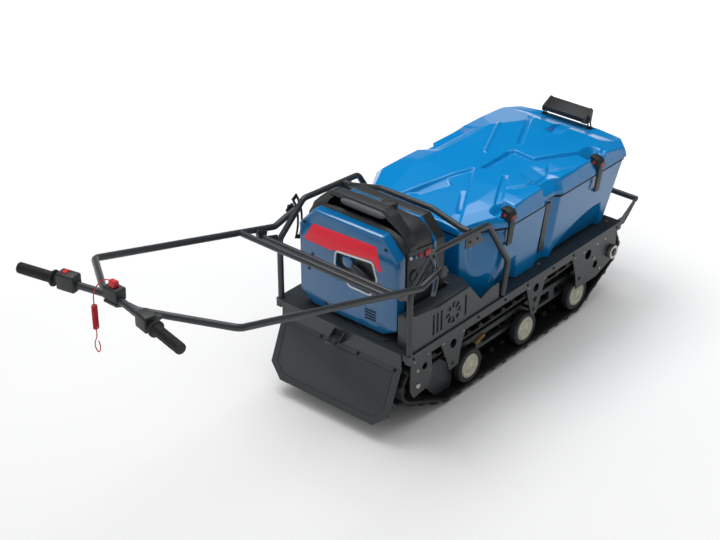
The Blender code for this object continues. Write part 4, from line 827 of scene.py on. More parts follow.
def inside(x, y, corners, soft=0.004):
    """1 inside a convex outline given clockwise, 0 outside, with a soft border."""
    corners = np.array(corners, float)
    ahead = np.roll(corners, -1, 0) - corners
    ahead /= np.linalg.norm(ahead, axis=1, keepdims=True)
    away = np.stack([x, y], -1)[..., None, :] - corners
    depth = (ahead[:, 1] * away[..., 0] - ahead[:, 0] * away[..., 1]).min(-1)
    return np.clip(depth / soft + 0.5, 0, 1)


# %% [markdown]
# Now the lid's own features, from the rear: the V-shaped recess with a ramp beside each wall, the
# pale facet behind the right latch, the slot, the long stepped line, the ribs, and the facets that
# fall to the front corners and to the lamp.

# %% Lid relief
height = base_height(X, Y)
RIM_DROP, RIM_WIDE = 0.005, 0.006
V_RECESS = ((0.622, -0.017), (0.300, -0.200), (0.300, 0.106))
recess = inside(X, Y, V_RECESS, 0.005)
height = height - 0.008 * recess
for start, end, near, far, fall, tilt in (((0.505, -0.005), (0.418, 0.040), 0.030, -0.012, 0.002, 0.011),
                                          ((0.500, -0.074), (0.404, -0.130), 0.014, -0.010, 0.013, 0.0)):
    run = np.subtract(end, start) / np.hypot(*np.subtract(end, start))
    down = (X - start[0]) * run[0] + (Y - start[1]) * run[1]
    aside = (X - start[0]) * run[1] - (Y - start[1]) * run[0]
    band = np.clip((near - aside) / 0.004, 0, 1) * np.clip((aside - far) / 0.004, 0, 1)
    deep = fall * np.clip(down / 0.085, 0, 1) + tilt * np.clip((near - aside) / (near - far), 0, 1)
    cut = recess * band * deep * np.clip((down + 0.010) / 0.006, 0, 1)
    height = height - cut * np.clip((0.130 - down) / 0.03, 0, 1)

height = np.minimum(height, plane(X, Y, (0.420, -0.139, 0.5885), (0.511, -0.188, 0.5975),
                                  (0.372, -0.200, 0.5655)))
height = np.minimum(height, plane(X, Y, (1.075, -0.146, 0.601), (1.010, -0.252, 0.592),
                                  (1.165, -0.245, 0.5655)))
height = np.minimum(height, plane(X, Y, (1.100, 0.080, 0.594), (0.954, 0.128, 0.6035), (1.045, 0.165, 0.588)))

height += step(X, Y, ((0.655, -0.030), (0.790, -0.026), (0.814, -0.040), (0.803, -0.122), (0.985, -0.212),
                      (1.020, -0.234)), 0.0135, ramp=0.020)
height += step(X, Y, ((0.600, -0.188), (0.640, -0.211), (0.752, -0.205), (0.775, -0.193)), 0.004, ramp=0.040)
height += step(X, Y, ((0.775, -0.196), (0.862, -0.252)), 0.004, ramp=0.020)
height += channel(X, Y, ((0.632, -0.134), (0.500, -0.203)), 0.006, 0.020)
height += channel(X, Y, ((1.082, 0.091), (0.862, -0.021)), 0.006, 0.014)
height += channel(X, Y, ((0.957, 0.131), (0.741, 0.029)), -0.004, 0.012)
pit = inside(X, Y, ((1.018, -0.018), (1.128, -0.008), (1.128, -0.051), (1.013, -0.072)), 0.006)
height = height - pit * 0.030 * np.clip((1.128 - X) / 0.11, 0, 1)

for latch_x in (0.478, 0.978):
    out = np.hypot(np.clip(abs(X - latch_x) - 0.020, 0, 1), np.clip(abs(Y + 0.270) - 0.046, 0, 1))
    height = np.minimum(height, 0.5615 + 1.3 * np.maximum(out - 0.003, 0))


def smoothed(field):
    """The field averaged with its neighbours, once along each direction, its border kept."""
    field = field.copy()
    field[1:-1] = (field[:-2] + 2 * field[1:-1] + field[2:]) / 4
    field[:, 1:-1] = (field[:, :-2] + 2 * field[:, 1:-1] + field[:, 2:]) / 4
    return field


height = smoothed(height)
border = np.minimum.reduce([X - LID_REAR, LID_NOSE - X, lip(X) - abs(Y)])
height -= RIM_DROP * (1 - np.sqrt(np.clip(1 - (1 - np.clip(border, 0, RIM_WIDE) / RIM_WIDE) ** 2, 0, 1)))
print("lid height from", round(float(height.min()), 4), "to", round(float(height.max()), 4), "m")

# %% [markdown]
# The field becomes a closed shell: below its border a narrow wall drops to the seam and turns under,
# and rings rise inside and close towards the middle, so the open lid shows a real inner face.

# %% Lid shell


def border_loop(grid):
    """The outermost points of a grid, once round."""
    return np.concatenate([grid[:-1, 0], grid[-1, :-1], grid[:0:-1, -1], grid[0, :0:-1]])


def shrunk(loop, share, level):
    """A level ring: the loop's points drawn in to a share of their distance from the box's middle."""
    return np.column_stack([middle + (loop - middle) * share, np.full(len(loop), level)])


top = np.stack([X, Y, height], -1)
number = np.arange(X.size).reshape(X.shape)
rim = border_loop(top)
rim_number = border_loop(number)
middle = np.array([(LID_REAR + LID_NOSE) / 2, 0.0])
inner_half = lip(rim[:, 0]) - LIP_THICK
inner_rim = np.stack([np.clip(rim[:, 0], LID_REAR + LIP_THICK, LID_NOSE - LIP_THICK),
                      np.clip(rim[:, 1], -inner_half, inner_half)], 1)
rings = [np.column_stack([rim[:, :2], np.full(len(rim), SEAM + 0.0015)]),
         np.column_stack([rim[:, :2] * 0.25 + inner_rim * 0.75, np.full(len(rim), SEAM)]),
         np.column_stack([inner_rim, np.full(len(rim), SEAM + 0.001)])]
for share, rise in ((1.0, 0.016), (0.97, 0.019), (0.90, 0.020), (0.5, 0.020), (0.02, 0.020)):
    rings.append(shrunk(inner_rim, share, SEAM + rise))
rings = np.stack(rings)
ring_points, ring_blocks = sheet(rings, wrap_v=True)
first = np.arange(len(rim)) + X.size
join = np.stack([rim_number, np.roll(rim_number, -1), np.roll(first, -1), first], 1)
cap = (np.arange(len(rim)) + X.size + len(ring_points) - len(rim))[None]
top_points, top_blocks = sheet(top)
lid_blocks = [*top_blocks, join, *(block + X.size for block in ring_blocks), cap]
lid = (np.vstack([top_points, ring_points]), lid_blocks)
put("lid_shell", lid, moulded_blue, "lid", ["box_lid"], sharp=50)
print("lid faces:", len(top_blocks[0]) + len(join) + len(ring_blocks[0]))

# %% [markdown]
# The body is a loft: a foot outline and a rim outline with the same corners, every corner softened,
# and straight lines between them. Its relief pushes the side faces in: an arch over the track at
# each end of the side, cut off by a nearly upright wall, and a pocket under each latch. A near-black
# rubber ring is set round the rim, under the lid, as painted shade: it draws the seam between lid and
# body as a dark line.

# %% Box body
BOX_LOW = RAIL_TOP + GAP
BOX_RIM = 0.535
WALL_LEAN = 0.18
CORNERS = np.array([
    # x and y at the rim, x and y at the foot, left half from rear to front
    (0.330, 0.186, 0.352, 0.170), (0.385, 0.208, 0.376, 0.192), (0.470, 0.262, 0.420, 0.226),
    (0.682, 0.262, 0.682, 0.228), (0.698, 0.243, 0.698, 0.214), (0.745, 0.243, 0.745, 0.214),
    (0.764, 0.262, 0.764, 0.228), (1.130, 0.262, 1.085, 0.222), (1.185, 0.215, 1.130, 0.180)])

rim_line, foot_line = (soften(with_image(CORNERS[:, k:k + 2]), 0.007, 5) for k in (0, 2))
spans = np.linalg.norm(np.roll(rim_line, -1, 0) - rim_line, axis=1)
cuts = np.maximum(np.round(spans / 0.0042).astype(int), 1)
place = np.concatenate([i + np.arange(n) / n for i, n in enumerate(cuts)])
corner = np.arange(len(rim_line) + 1)
rim_loop, foot_loop = (np.stack([np.interp(place, corner, np.append(line[:, k], line[0, k]))
                                 for k in (0, 1)], 1) for line in (rim_line, foot_line))
levels = np.concatenate([[0, 0.006, 0.014, 0.024], np.linspace(0.036, 0.985, 56), [0.994, 1.0]])
wall = foot_loop * (1 - levels[:, None, None]) + rim_loop * levels[:, None, None]
Z = np.broadcast_to((BOX_LOW + (BOX_RIM - BOX_LOW) * levels)[:, None], wall.shape[:2])
WX, WY = wall[..., 0], wall[..., 1]


def arch(x, z, start, end, foot, top):
    """How deep the side is pushed in under a sine curve that rises from start to end and stops at a wall."""
    share = np.clip((x - start) / (end - start), 0, 1)
    curve = foot + (top - foot) * np.sin(share * np.pi / 2) ** 0.7
    wall_x = end + WALL_LEAN * (top - z)
    return np.clip((curve - z) / 0.055, 0, 1) * np.clip((wall_x - x) / 0.006, 0, 1) * (x > start)


push = 0.030 * arch(WX, Z, 0.770, 1.046, 0.300, 0.392) + 0.024 * arch(WX, Z, 0.440, 0.560, 0.296, 0.390)
for latch_x in (0.486, 0.978):
    out = np.hypot(np.clip(abs(WX - latch_x) - 0.010, 0, 1), np.clip(0.478 - Z, 0, 1))
    push = push + 0.010 * np.clip(1 - (out - 0.006) / 0.010, 0, 1)
dish_x, dish_z = (WX - 0.398) / 0.045, (Z - 0.455) / 0.085
corner_panel = np.clip((0.462 - WX) / 0.02, 0, 1) * np.clip((abs(WY) - 0.190) / 0.01, 0, 1)
push = push + 0.012 * corner_panel * np.clip(1 - dish_x**2 - dish_z**2, 0, 1)
ledge = 0.0035 * np.clip((0.5195 - Z) / 0.004, 0, 1) * np.clip((0.475 - WX) / 0.02, 0, 1)
on_side = np.clip((abs(WY) - 0.150) / 0.03, 0, 1)
inward = np.sign(WY) * (push * on_side + ledge * on_side)
wall = np.stack([WX + 0.55 * ledge + 0.45 * push * (WX < 0.47), WY - inward, Z], -1)
wall[0, :, :2] = middle + (wall[0, :, :2] - middle) * 0.985
inner = [(0.975, BOX_RIM - 0.0008), (0.970, BOX_RIM - 0.004), (0.925, 0.45), (0.83, BOX_LOW + 0.012),
         (0.80, BOX_LOW + 0.006), (0.4, BOX_LOW + 0.006), (0.02, BOX_LOW + 0.006)]
inner_rings = [shrunk(rim_loop, share, z) for share, z in inner]
under = [shrunk(wall[0, :, :2], share, BOX_LOW) for share in (0.02, 0.5)]
shell_points, shell_blocks = sheet(np.concatenate([under, wall, inner_rings]), wrap_v=True)
count = len(rim_loop)
caps = [np.arange(count)[None], (len(shell_points) - count + np.arange(count))[None]]
put("box_shell", (shell_points, [*shell_blocks, *caps]), moulded_blue, "chassis", ["box_body"], sharp=50)
# The ring under the lid's edge is a near-black strip of painted shade, which draws the seam as a dark line.
outer, inside_line = offset(rim_line, -0.0012), offset(rim_line, 0.0030)
seal = [np.column_stack([line, np.full(len(line), BOX_RIM - down)])
        for line, down in ((outer, 0.0085), (outer, 0.0015), (inside_line, 0.0015), (inside_line, 0.0085))]
put("lid_gasket_painted_seam_shade", sheet(np.stack(seal), wrap_u=True, wrap_v=True), seam_shade_rubber, "chassis")
print("body faces:", len(shell_blocks[0]))

# %% [markdown]
# ## Generator, cover and guard
#
# The generator's rear shell keeps its packed form. What makes it look like a real machine is laid on
# its rear face: the red printed band, the bright trim round the starter's recess, dark screws and
# vent slots, which are not cut but drawn as dark strips, painted shade. The hood, the front shell and
# the arch are worked out again further down.

# %% Generator fittings
GEN_REAR = 0.018
PRINT = 0.0006

band = soften([(0.136, 0.592), (-0.114, 0.601), (-0.137, 0.520), (-0.121, 0.521), (-0.098, 0.548),
               (0.056, 0.530), (0.060, 0.523), (0.176, 0.527)], 0.0015, 2)
# The band's red vinyl glows a little: painted light.
put("printed_band", slab(band, GEN_REAR - PRINT, GEN_REAR, "X", 0.0002), decal_red_painted_glow, "chassis")

RECESS = [(0.046, 0.529), (0.050, 0.480), (-0.010, 0.426), (-0.094, 0.426), (-0.119, 0.487), (-0.101, 0.541)]
ring = closed(soften(RECESS, 0.014, 6))
trim = np.column_stack([np.full(len(ring), GEN_REAR - PRINT), ring])
put("recess_trim", tube(trim, 0.0035, up=(1, 0, 0), sides=10, squash=0.7), trim_white, "chassis")

screw = slab(soften(rectangle(0.006, 0.0045), 0.002, 3), GEN_REAR - 2 * PRINT, GEN_REAR + 0.001, "X", 0.0004)
holes = np.array([(0.172, 0.586), (-0.152, 0.603), (0.140, 0.484), (0.156, 0.428), (0.088, 0.328),
                  (-0.160, 0.470)])
put("panel_screws", copies(screw, np.insert(holes, 0, 0, axis=1)), dark_bolt_and_slot_shade, "chassis")
# The vents are not cut: flat dark strips on the face stand for them, as painted shade.
slot = slab(soften(rectangle(0.021, 0.0022), 0.0018, 3), GEN_REAR - PRINT, GEN_REAR + 0.001, "X", 0.0003)
rows = [(0, -0.092, z) for z in (0.342, 0.352, 0.362, 0.372)]
put("panel_vents_painted_shade", copies(slot, rows), dark_bolt_and_slot_shade, "chassis")

# %% [markdown]
# The recess has a dark floor. A blue hub covers the starter's pulley, and the handle is a thick bar
# of black plastic that lies across the rest of it. The photograph shows no cord between the two, so
# none is made.

# %% Recoil starter
floor_line = soften(offset(np.array(RECESS), 0.0012), 0.013, 6)
put("recess_floor", slab(floor_line, 0.0306, 0.0319, "X", 0.0003), abs_black, "chassis")
hub = lathe([(0.0, 0.0190), (0.014, 0.0192), (0.0175, 0.0205), (0.0215, 0.0235), (0.0235, 0.0306),
             (0.0, 0.0306)], "X", (0, 0.004, 0.504), sides=40)
put("recoil_hub", hub, shell_blue, "chassis")
grip_line = smooth([(0.0195, -0.022, 0.503), (0.0175, -0.046, 0.494), (0.0170, -0.070, 0.484),
                    (0.0180, -0.094, 0.470)], 24)
thick = 0.0085 + 0.0030 * np.sin(np.linspace(0, np.pi, 25))
put("recoil_handle", tube(grip_line, thick, up=(1, 0, 0), sides=16), abs_black, "chassis")

# %% [markdown]
# Between the shells lies a black hood. Across, its top is a superellipse, whose height over the
# shoulder is (1 - |y / half width| ** 3.4) ** (1 / 3.4) of the crown's: flat in the middle and
# falling ever faster to the sides. Along the machine the crown swells and sinks again, so that the
# hood stands proud of the rear shell and leaves only a blue rim of the front shell in sight.

# %% Hood and front shell
SHOULDER = 0.577
HOOD = np.array([(0.0550, 0.188, 0.634), (0.0570, 0.1905, 0.638), (0.066, 0.1925, 0.645),
                 (0.082, 0.1935, 0.6515), (0.105, 0.194, 0.6555), (0.140, 0.194, 0.6575),
                 (0.168, 0.194, 0.6550), (0.180, 0.193, 0.650), (0.1875, 0.1905, 0.642),
                 (0.1898, 0.188, 0.636)])
hood_x = np.concatenate([HOOD[:3, 0], np.linspace(0.072, 0.178, 22), HOOD[-2:, 0]])
half, crown = (np.interp(hood_x, HOOD[:, 0], HOOD[:, k])[:, None] for k in (1, 2))
across = np.sin(np.linspace(-1, 1, 61) * np.pi / 2)
dome = np.stack([0 * half + hood_x[:, None] + 0 * across, half * across,
                 SHOULDER + (crown - SHOULDER) * (1 - abs(across) ** 3.4) ** (1 / 3.4)], -1)
drop = np.array([(1.0, 0.57), (1.0, 0.50), (1.0, 0.42), (1.0, 0.345), (0.985, 0.336), (0.74, 0.312),
                 (0.70, 0.3105)])
side = np.stack([hood_x[:, None] + 0 * drop[:, 0], half * drop[:, 0], 0 * half + drop[:, 1]], -1)
rings = np.concatenate([dome, side, side[:, ::-1] * [1, -1, 1]], 1)
middle_of = np.array([0.0, 0.0, 0.47])
ends = [rings[k] * [1, 0.001, 0.001] + middle_of * 0.999 for k in (0, -1)]
hood = np.concatenate([ends[0][None], rings, ends[1][None]])
put("generator_hood", sheet(hood, wrap_v=True), abs_black, "chassis", ["gen_core"])
half_shell = [(0.142, 0.305), (0.197, 0.335), (0.197, SHOULDER), (0.137, 0.640)]
shell_line = with_image(half_shell, 0)
put("front_rim", slab(soften(shell_line, 0.010, 5), 0.1903, 0.2040, "X", 0.0030), shell_blue, "chassis",
    ["gen_front_shell"])
put("front_body", slab(soften(offset(shell_line, 0.0025), 0.009, 5), 0.2025, 0.2510, "X", 0.0100),
    abs_black, "chassis")
put("front_panel", slab(soften(offset(shell_line, 0.0180), 0.008, 5), 0.2495, 0.2520, "X", 0.0012),
    shell_blue, "chassis")
print("hood stands", round(float(1000 * (HOOD[:, 2].max() - 0.640)), 1), "mm over the shells")

# %% [markdown]
# On the right, between the shells, sits the outlet panel: a plate with two round outlets, a row of
# small caps and a rocker switch. It is seen only through the tubes, so a few turned profiles do.

# %% Outlet panel
PANEL_Y = 0.1975
plate = soften([(0.064, 0.446), (0.184, 0.436), (0.184, 0.574), (0.064, 0.590)], 0.006, 4)
put("outlet_panel", slab(plate, -PANEL_Y, -0.188, "Y", 0.0016), lamp_casting, "chassis")
collar = [(0, -0.0015), (0.0125, -0.0015), (0.0135, -0.0050), (0.0180, -0.0050), (0.0195, -0.0035),
          (0.0195, 0.002), (0, 0.002)]
outlets = [(0.094, -PANEL_Y, 0.500), (0.146, -PANEL_Y, 0.492)]
put("outlets", copies(lathe(collar, sides=32), outlets), abs_black, "chassis")
small = [(0, -0.0045), (0.0046, -0.0042), (0.0056, -0.0030), (0.0056, 0.002), (0, 0.002)]
for name, x, z, paint in (("earth", 0.078, 0.566, trim_white), ("reset", 0.100, 0.562, shell_blue),
                          ("charge", 0.122, 0.559, signal_red), ("gauge", 0.160, 0.535, bright_zinc)):
    put(f"panel_{name}", lathe(small, centre=(x, -PANEL_Y, z), sides=20), paint, "chassis")
rocker = slab(soften([(0.146, 0.546), (0.170, 0.544), (0.170, 0.562), (0.146, 0.564)], 0.002, 3),
              -PANEL_Y - 0.0040, -PANEL_Y + 0.001, "Y", 0.0012)
put("panel_rocker", rocker, signal_red, "chassis")

# %% [markdown]
# The carrying arch is a wide moulded band with splayed feet. A padded grip runs along its rear upper
# edge, clear of the hood, and two screws sit at each end of its top. In front of it the filler cap
# stands on the hood, with a ring of small ribs.

# %% Carrying arch and filler cap
TOP = 0.6943
SEAT = 0.6543
CAP_AT = (0.159, -0.045)
arch_half = [(0.1965, 0.560), (0.1965, 0.600), (0.184, 0.630), (0.158, 0.656), (0.128, TOP - 0.012),
             (0.104, TOP)]
hole_half = [(0.092, TOP - 0.020), (0.112, TOP - 0.034), (0.138, 0.610), (0.150, 0.560)]
arch_line = np.vstack([with_image(arch_half, 0), np.roll(with_image(hole_half, 0), len(hole_half), 0)])
put("carrying_arch", slab(soften(arch_line, 0.003, 4), 0.072, 0.110, "X", 0.0045), abs_black, "chassis",
    ["gen_handle"])
grip_path = [(0.0715, y, TOP - 0.0195) for y in np.linspace(-0.106, 0.070, 30)]
swell = 0.0115 * np.sqrt(np.clip(1 - np.linspace(-1, 1, 30) ** 8, 0.05, 1))
put("carrying_grip", tube(grip_path, swell, up=(0, 0, 1), sides=20), soft_touch, "chassis")
screw_top = lathe([(0, 0), (0.0045, 0), (0.0050, -0.002), (0.0050, -0.006), (0, -0.006)], "Z", sides=16)
spots = np.array([(0.083, 0.100, TOP + 0.0006), (0.100, 0.100, TOP + 0.0006)])
put("arch_screws", both_sides(copies(screw_top, spots)), dark_bolt_and_slot_shade, "chassis")
cap = [(0, SEAT), (0.0255, SEAT), (0.0260, SEAT + 0.002), (0.0260, SEAT + 0.015), (0.0235, SEAT + 0.0185),
       (0.0170, SEAT + 0.0200), (0.0, SEAT + 0.0200)]
put("filler_cap", lathe(cap, "Z", (*CAP_AT, 0), sides=36), abs_black, "chassis", ["fuel_cap"])
ribs = 24
turn = np.arange(ribs) * 2 * np.pi / ribs
rib = slab(rectangle(0.0012, 0.0008), SEAT + 0.003, SEAT + 0.014, edge=0.0004)
places = np.stack([CAP_AT[0] + 0.0258 * np.cos(turn), CAP_AT[1] + 0.0258 * np.sin(turn), 0 * turn], 1)
put("filler_cap_ribs", copies(rib, places), abs_black, "chassis")

# %% [markdown]
# Beside the generator stands a cover, and outside it the cut plate, which keeps its packed form.
# Behind the track hangs the guard, a packed form too, with four bolts near its upper edge.

# %% Cover and guard
cover = [(0.012, -0.262), (0.288, -0.262), (0.318, -0.217), (0.318, -0.130), (0.256, -0.130), (0.256, -0.203),
         (0.012, -0.203)]
put("side_cover", slab(soften(cover, 0.006, 4), RAIL_TOP + GAP, 0.404, "Z", 0.006), powder_coat, "chassis",
    ["pannier_cover"])

dressed("flap", powder_coat, edge=0.0008)
FLAP_TOP = np.array([-0.0145, 0.243])
FLAP_FOOT = np.array([-0.090, 0.054])
slope = (FLAP_FOOT - FLAP_TOP) / np.linalg.norm(FLAP_FOOT - FLAP_TOP)


def on_flap(part):
    """A part drawn flat as (down the slope, across, out of the rear face), laid on the guard."""
    d, v, h = part[0].T
    x = FLAP_TOP[0] + slope[0] * d + slope[1] * h
    z = FLAP_TOP[1] + slope[1] * d - slope[0] * h
    return np.stack([x, v, z], 1), part[1]


head = bolt(0.0055, "Z")
spots = np.array([(0.014, 0.222, 0), (0.014, -0.222, 0), (0.014, 0.075, 0), (0.014, -0.075, 0)])
put("guard_bolts", on_flap(copies(head, spots)), dark_bolt_and_slot_shade, "chassis")
print("guard slopes down", round(float(np.degrees(np.arccos(-slope[1]))), 1), "degrees off upright")

# %% [markdown]
# ## Controls
#
# Grips, switch block and throttle are clamped round the bar, so they are drawn round the Z axis and
# then laid along one half of the bar, whose direction follows from its two ends.

# %% Grips and switches
reach = float(np.hypot(BAR_END[0] - BAR_MID[0], BAR_END[1] - BAR_MID[1]))


def on_bar(part, side, distance):
    """A part drawn along +Z laid on one half of the bar, its Z running out from the given distance."""
    along = np.array([BAR_END[0] - BAR_MID[0], side * (BAR_END[1] - BAR_MID[1]), 0.0]) / reach
    up = np.array([0.0, 0.0, 1.0])
    frame_axes = np.stack([np.cross(up, along), up, along], 1)
    start = np.array([BAR_MID[0], side * BAR_MID[1], BAR_Z])
    return moved(turned(part, frame_axes), start + along * distance)


ribs = np.arange(26)
foot = 0.012 + ribs * 0.0040
profile = np.concatenate([[(0.0108, 0.0), (0.022, 0.0), (0.0232, 0.0015), (0.0232, 0.0045), (0.022, 0.006),
                           (0.0165, 0.0075), (0.0150, 0.0100)],
                          np.stack([np.tile([0.0148, 0.0158, 0.0158, 0.0148], 26),
                                    (foot[:, None] + [0.0, 0.0006, 0.0026, 0.0032]).ravel()], 1),
                          [(0.0156, 0.1165), (0.0150, 0.1190), (0.0120, 0.1200), (0.0, 0.1200)]])
grip = lathe(profile, "Z", sides=32)
for name, side in SIDES:
    put(f"grip_sleeve_{name}", on_bar(grip, side, reach - 0.1157), grip_rubber, "handle", [f"grip_{name}"])

block = soften([(-0.019, -0.019), (0.021, -0.019), (0.021, 0.030), (-0.019, 0.030)], 0.007, 5)
put("switch_case", on_bar(slab(block, 0, 0.056, "Z", 0.004), 1, 0.082), abs_black, "handle", ["switch_block"])
button = slab(soften(rectangle(0.009, 0.006), 0.0025, 4), 0.0290, 0.0335, "Z", 0.0012)
button = turned(button, [[1, 0, 0], [0, 0, 1], [0, 1, 0]])
put("switch_button", on_bar(moved(button, (0, 0, 0.036)), 1, 0.082), signal_red, "handle")
housing = soften([(-0.021, -0.020), (0.019, -0.020), (0.019, 0.026), (-0.021, 0.026)], 0.008, 5)
put("throttle_case", on_bar(slab(housing, 0, 0.050, "Z", 0.004), -1, 0.088), abs_black, "handle",
    ["throttle_housing"])
blade = soften([(0.0194, -0.006), (0.032, -0.010), (0.044, -0.002), (0.044, 0.004), (0.0194, 0.004)],
               0.0018, 4)
put("throttle_blade", on_bar(slab(blade, 0.012, 0.030, "Z", 0.0015), -1, 0.088), abs_black, "handle",
    ["throttle_lever"])
kill = soften([(-0.908, BAR_Z - 0.004), (-0.870, BAR_Z - 0.004), (-0.868, BAR_Z + 0.033),
               (-0.906, BAR_Z + 0.033)], 0.006, 5)
put("kill_case", slab(kill, -0.026, 0.026, "Y", 0.004), abs_black, "handle", ["kill_switch"])
tab = soften([(-0.900, CLIP_Z), (-0.878, CLIP_Z), (-0.880, CLIP_Z + 0.018), (-0.896, CLIP_Z + 0.020)],
             0.004, 4)
put("lanyard_tab", slab(tab, -0.012, 0.010, "Y", 0.0022), signal_red, "handle", ["lanyard_clip"])
print("grips end at y =", round(BAR_END[1], 3))

# %% [markdown]
# At the foot of each arm a lobed knob clamps it to the slotted plate, and a bolt runs in the slot.

# %% Clamp knobs
turn = np.linspace(0, 2 * np.pi, 72, endpoint=False)
lobes = 0.0175 + 0.0022 * np.cos(6 * turn)
knob = slab(np.stack([lobes * np.cos(turn), lobes * np.sin(turn)], 1), 0.3020, 0.3110, "Y", 0.0030)
stud = lathe([(0.0, 0.2722), (0.0038, 0.2722), (0.0040, 0.2730), (0.0040, 0.2818), (0.0, 0.2818)], "Y",
             sides=20)
for name, side in SIDES:
    flip = np.diag([1.0, side, 1.0])
    put(f"slot_stud_{name}", turned(moved(stud, (SLOT_AT[0], 0, SLOT_AT[1])), flip), bright_zinc, "handle",
        [f"slot_bolt_{name}"])
    put(f"clamp_knob_{name}", turned(moved(knob, (0.098, 0, 0.5515)), flip), abs_black, "handle")

# %% [markdown]
# ## Box fittings and bumper
#
# Two over-centre latches pull the lid down on the right, and a hinge in two lengths carries it on the
# left. A latch is a few outlines drawn square to the rim, each given its own width along it.

# %% Latches and hinge
PIN_AT = (-0.2590, 0.5765)
strap = soften([(-0.2686, 0.560), (-0.2686, 0.535), (-0.2591, 0.470), (-0.2646, 0.466), (-0.2735, 0.532),
                (-0.2735, 0.562)], 0.0008, 3)
lever = soften([(-0.2688, 0.558), (-0.2750, 0.554), (-0.2790, 0.559), (-0.2786, 0.577), (-0.2700, 0.589),
                (-0.2500, 0.5945), (-0.2360, 0.5920), (-0.2355, 0.5870), (-0.2500, 0.5875), (-0.2630, 0.581),
                (-0.2688, 0.573)], 0.0018, 3)
ear = soften([(-0.2380, 0.5590), (-0.2660, 0.5590), (-0.2745, 0.5630), (-0.2720, 0.5780), (-0.2600, 0.5860),
              (-0.2440, 0.5850)], 0.003, 4)
for name, x in (("rear", 0.484), ("front", 0.972)):
    body = stack(slab(strap, x - 0.013, x + 0.013, "X", 0.0010),
                 slab(lever, x - 0.0155, x + 0.0155, "X", 0.0022),
                 slab(ear, x - 0.0205, x - 0.0170, "X", 0.0008),
                 slab(ear, x + 0.0170, x + 0.0205, "X", 0.0008),
                 slab([(-0.2650, 0.5560), (-0.2360, 0.5560), (-0.2360, 0.5640), (-0.2650, 0.5640)],
                      x - 0.0205, x + 0.0205, "X", 0.0010))
    put(f"latch_{name}_body", body, abs_black, "lid", [f"latch_{name}"])
    pin = lathe(with_image([(0.0, -0.0235), (0.0034, -0.0235), (0.0044, -0.0225)]), "X", (x, *PIN_AT),
                sides=18)
    tab = slab([(-0.2775, 0.5620), (-0.2800, 0.5620), (-0.2797, 0.5740), (-0.2772, 0.5740)],
               x - 0.0065, x + 0.0065, "X", 0.0006)
    put(f"latch_{name}_pin", stack(pin, tab), signal_red, "lid")
    # The strap's window is not cut: a thin dark strip on its face stands for the opening, as painted shade.
    window_painted_shade = slab([(-0.2738, 0.545), (-0.2728, 0.545), (-0.2690, 0.505), (-0.2702, 0.505)],
                  x - 0.0075, x + 0.0075, "X", 0.0002)
    put(f"latch_{name}_window", window_painted_shade, dark_bolt_and_slot_shade, "lid")

HINGE_Y = 0.2745
HINGE_Z = 0.540
knuckle = lathe([(0.0, 0.0005), (0.0048, 0.0005), (0.0054, 0.0015), (0.0054, 0.0485), (0.0048, 0.0495),
                 (0.0, 0.0495)], "X", sides=18)
places = np.array([(x, HINGE_Y, HINGE_Z) for x in (0.500, 0.550, 0.600, 0.900, 0.950, 1.000)])
leaf = slab([(0.2623, 0.500), (0.2653, 0.500), (0.2653, 0.524), (HINGE_Y + 0.002, 0.5345),
             (HINGE_Y - 0.003, 0.5380), (HINGE_Y - 0.006, 0.534), (0.2623, 0.531)],
            0.500, 0.650, "X", 0.0004)
put("hinge_knuckles", stack(copies(knuckle, places), leaf, moved(leaf, (0.400, 0, 0))), powder_coat,
    "chassis", ["lid_hinge"])

# %% [markdown]
# A lamp bar stands on the lid's nose. Its case and its cooling fins share one section: the fins are
# copies of it, a little larger and very thin, in a row along the case.

# %% Lamp bar
LAMP = np.array([1.172, 0.613])
LAMP_HALF = 0.082
LAMP_SEAT = 0.5743
section = LAMP + np.array([(-0.031, -0.010), (-0.012, -0.020), (0.018, -0.024), (0.026, 0.016),
                           (0.017, 0.026), (-0.029, 0.004)])
case = slab(soften(section, 0.0025, 4), -LAMP_HALF + 0.003, LAMP_HALF - 0.003, "Y", 0.0010)
fins = copies(slab(soften(section + [(-0.0008, 0.0010)], 0.0025, 4), -0.0006, 0.0006, "Y", 0.0003),
              [(0, y, 0) for y in np.linspace(-LAMP_HALF + 0.006, LAMP_HALF - 0.006, 27)])
cheek = slab(soften(offset(section, -0.0018), 0.003, 4), LAMP_HALF - 0.004, LAMP_HALF + 0.004, "Y", 0.0014)
foot = slab(soften([(LAMP[0] - 0.014, LAMP_HALF + 0.001), (LAMP[0] + 0.010, LAMP_HALF + 0.001),
                    (LAMP[0] + 0.010, LAMP_HALF + 0.022), (LAMP[0] - 0.014, LAMP_HALF + 0.022)], 0.004, 4),
            LAMP_SEAT, LAMP_SEAT + 0.003, "Z", 0.0006)
legs = [tube(bent([(LAMP[0] + shift, LAMP_HALF + 0.012, LAMP_SEAT + 0.002),
                   (LAMP[0] + shift, LAMP_HALF + 0.0095, LAMP_SEAT + 0.014),
                   (LAMP[0] + shift * 0.6, LAMP_HALF + 0.0065, LAMP[1] - 0.002)], 0.010), 0.0026,
             up=(1, 0, 0), sides=12) for shift in (-0.010, 0.006)]
put("lamp_case", stack(case, fins, both_sides(stack(cheek, foot, *legs))), lamp_casting, "lid", ["light_bar"])
lens_line = LAMP + np.array([(0.0185, -0.0215), (0.0255, 0.0120), (0.0268, 0.0115), (0.0200, -0.0222)])
put("lamp_lens", slab(lens_line, -LAMP_HALF + 0.006, LAMP_HALF - 0.006, "Y", 0.0003), lens_clear, "lid")
foot_bolt = moved(bolt(0.0034, "Z"), (LAMP[0] - 0.002, LAMP_HALF + 0.0165, LAMP_SEAT + 0.003))
side_bolt = moved(bolt(0.0044, "Y"), (LAMP[0] - 0.002, LAMP_HALF + 0.004, LAMP[1] + 0.002))
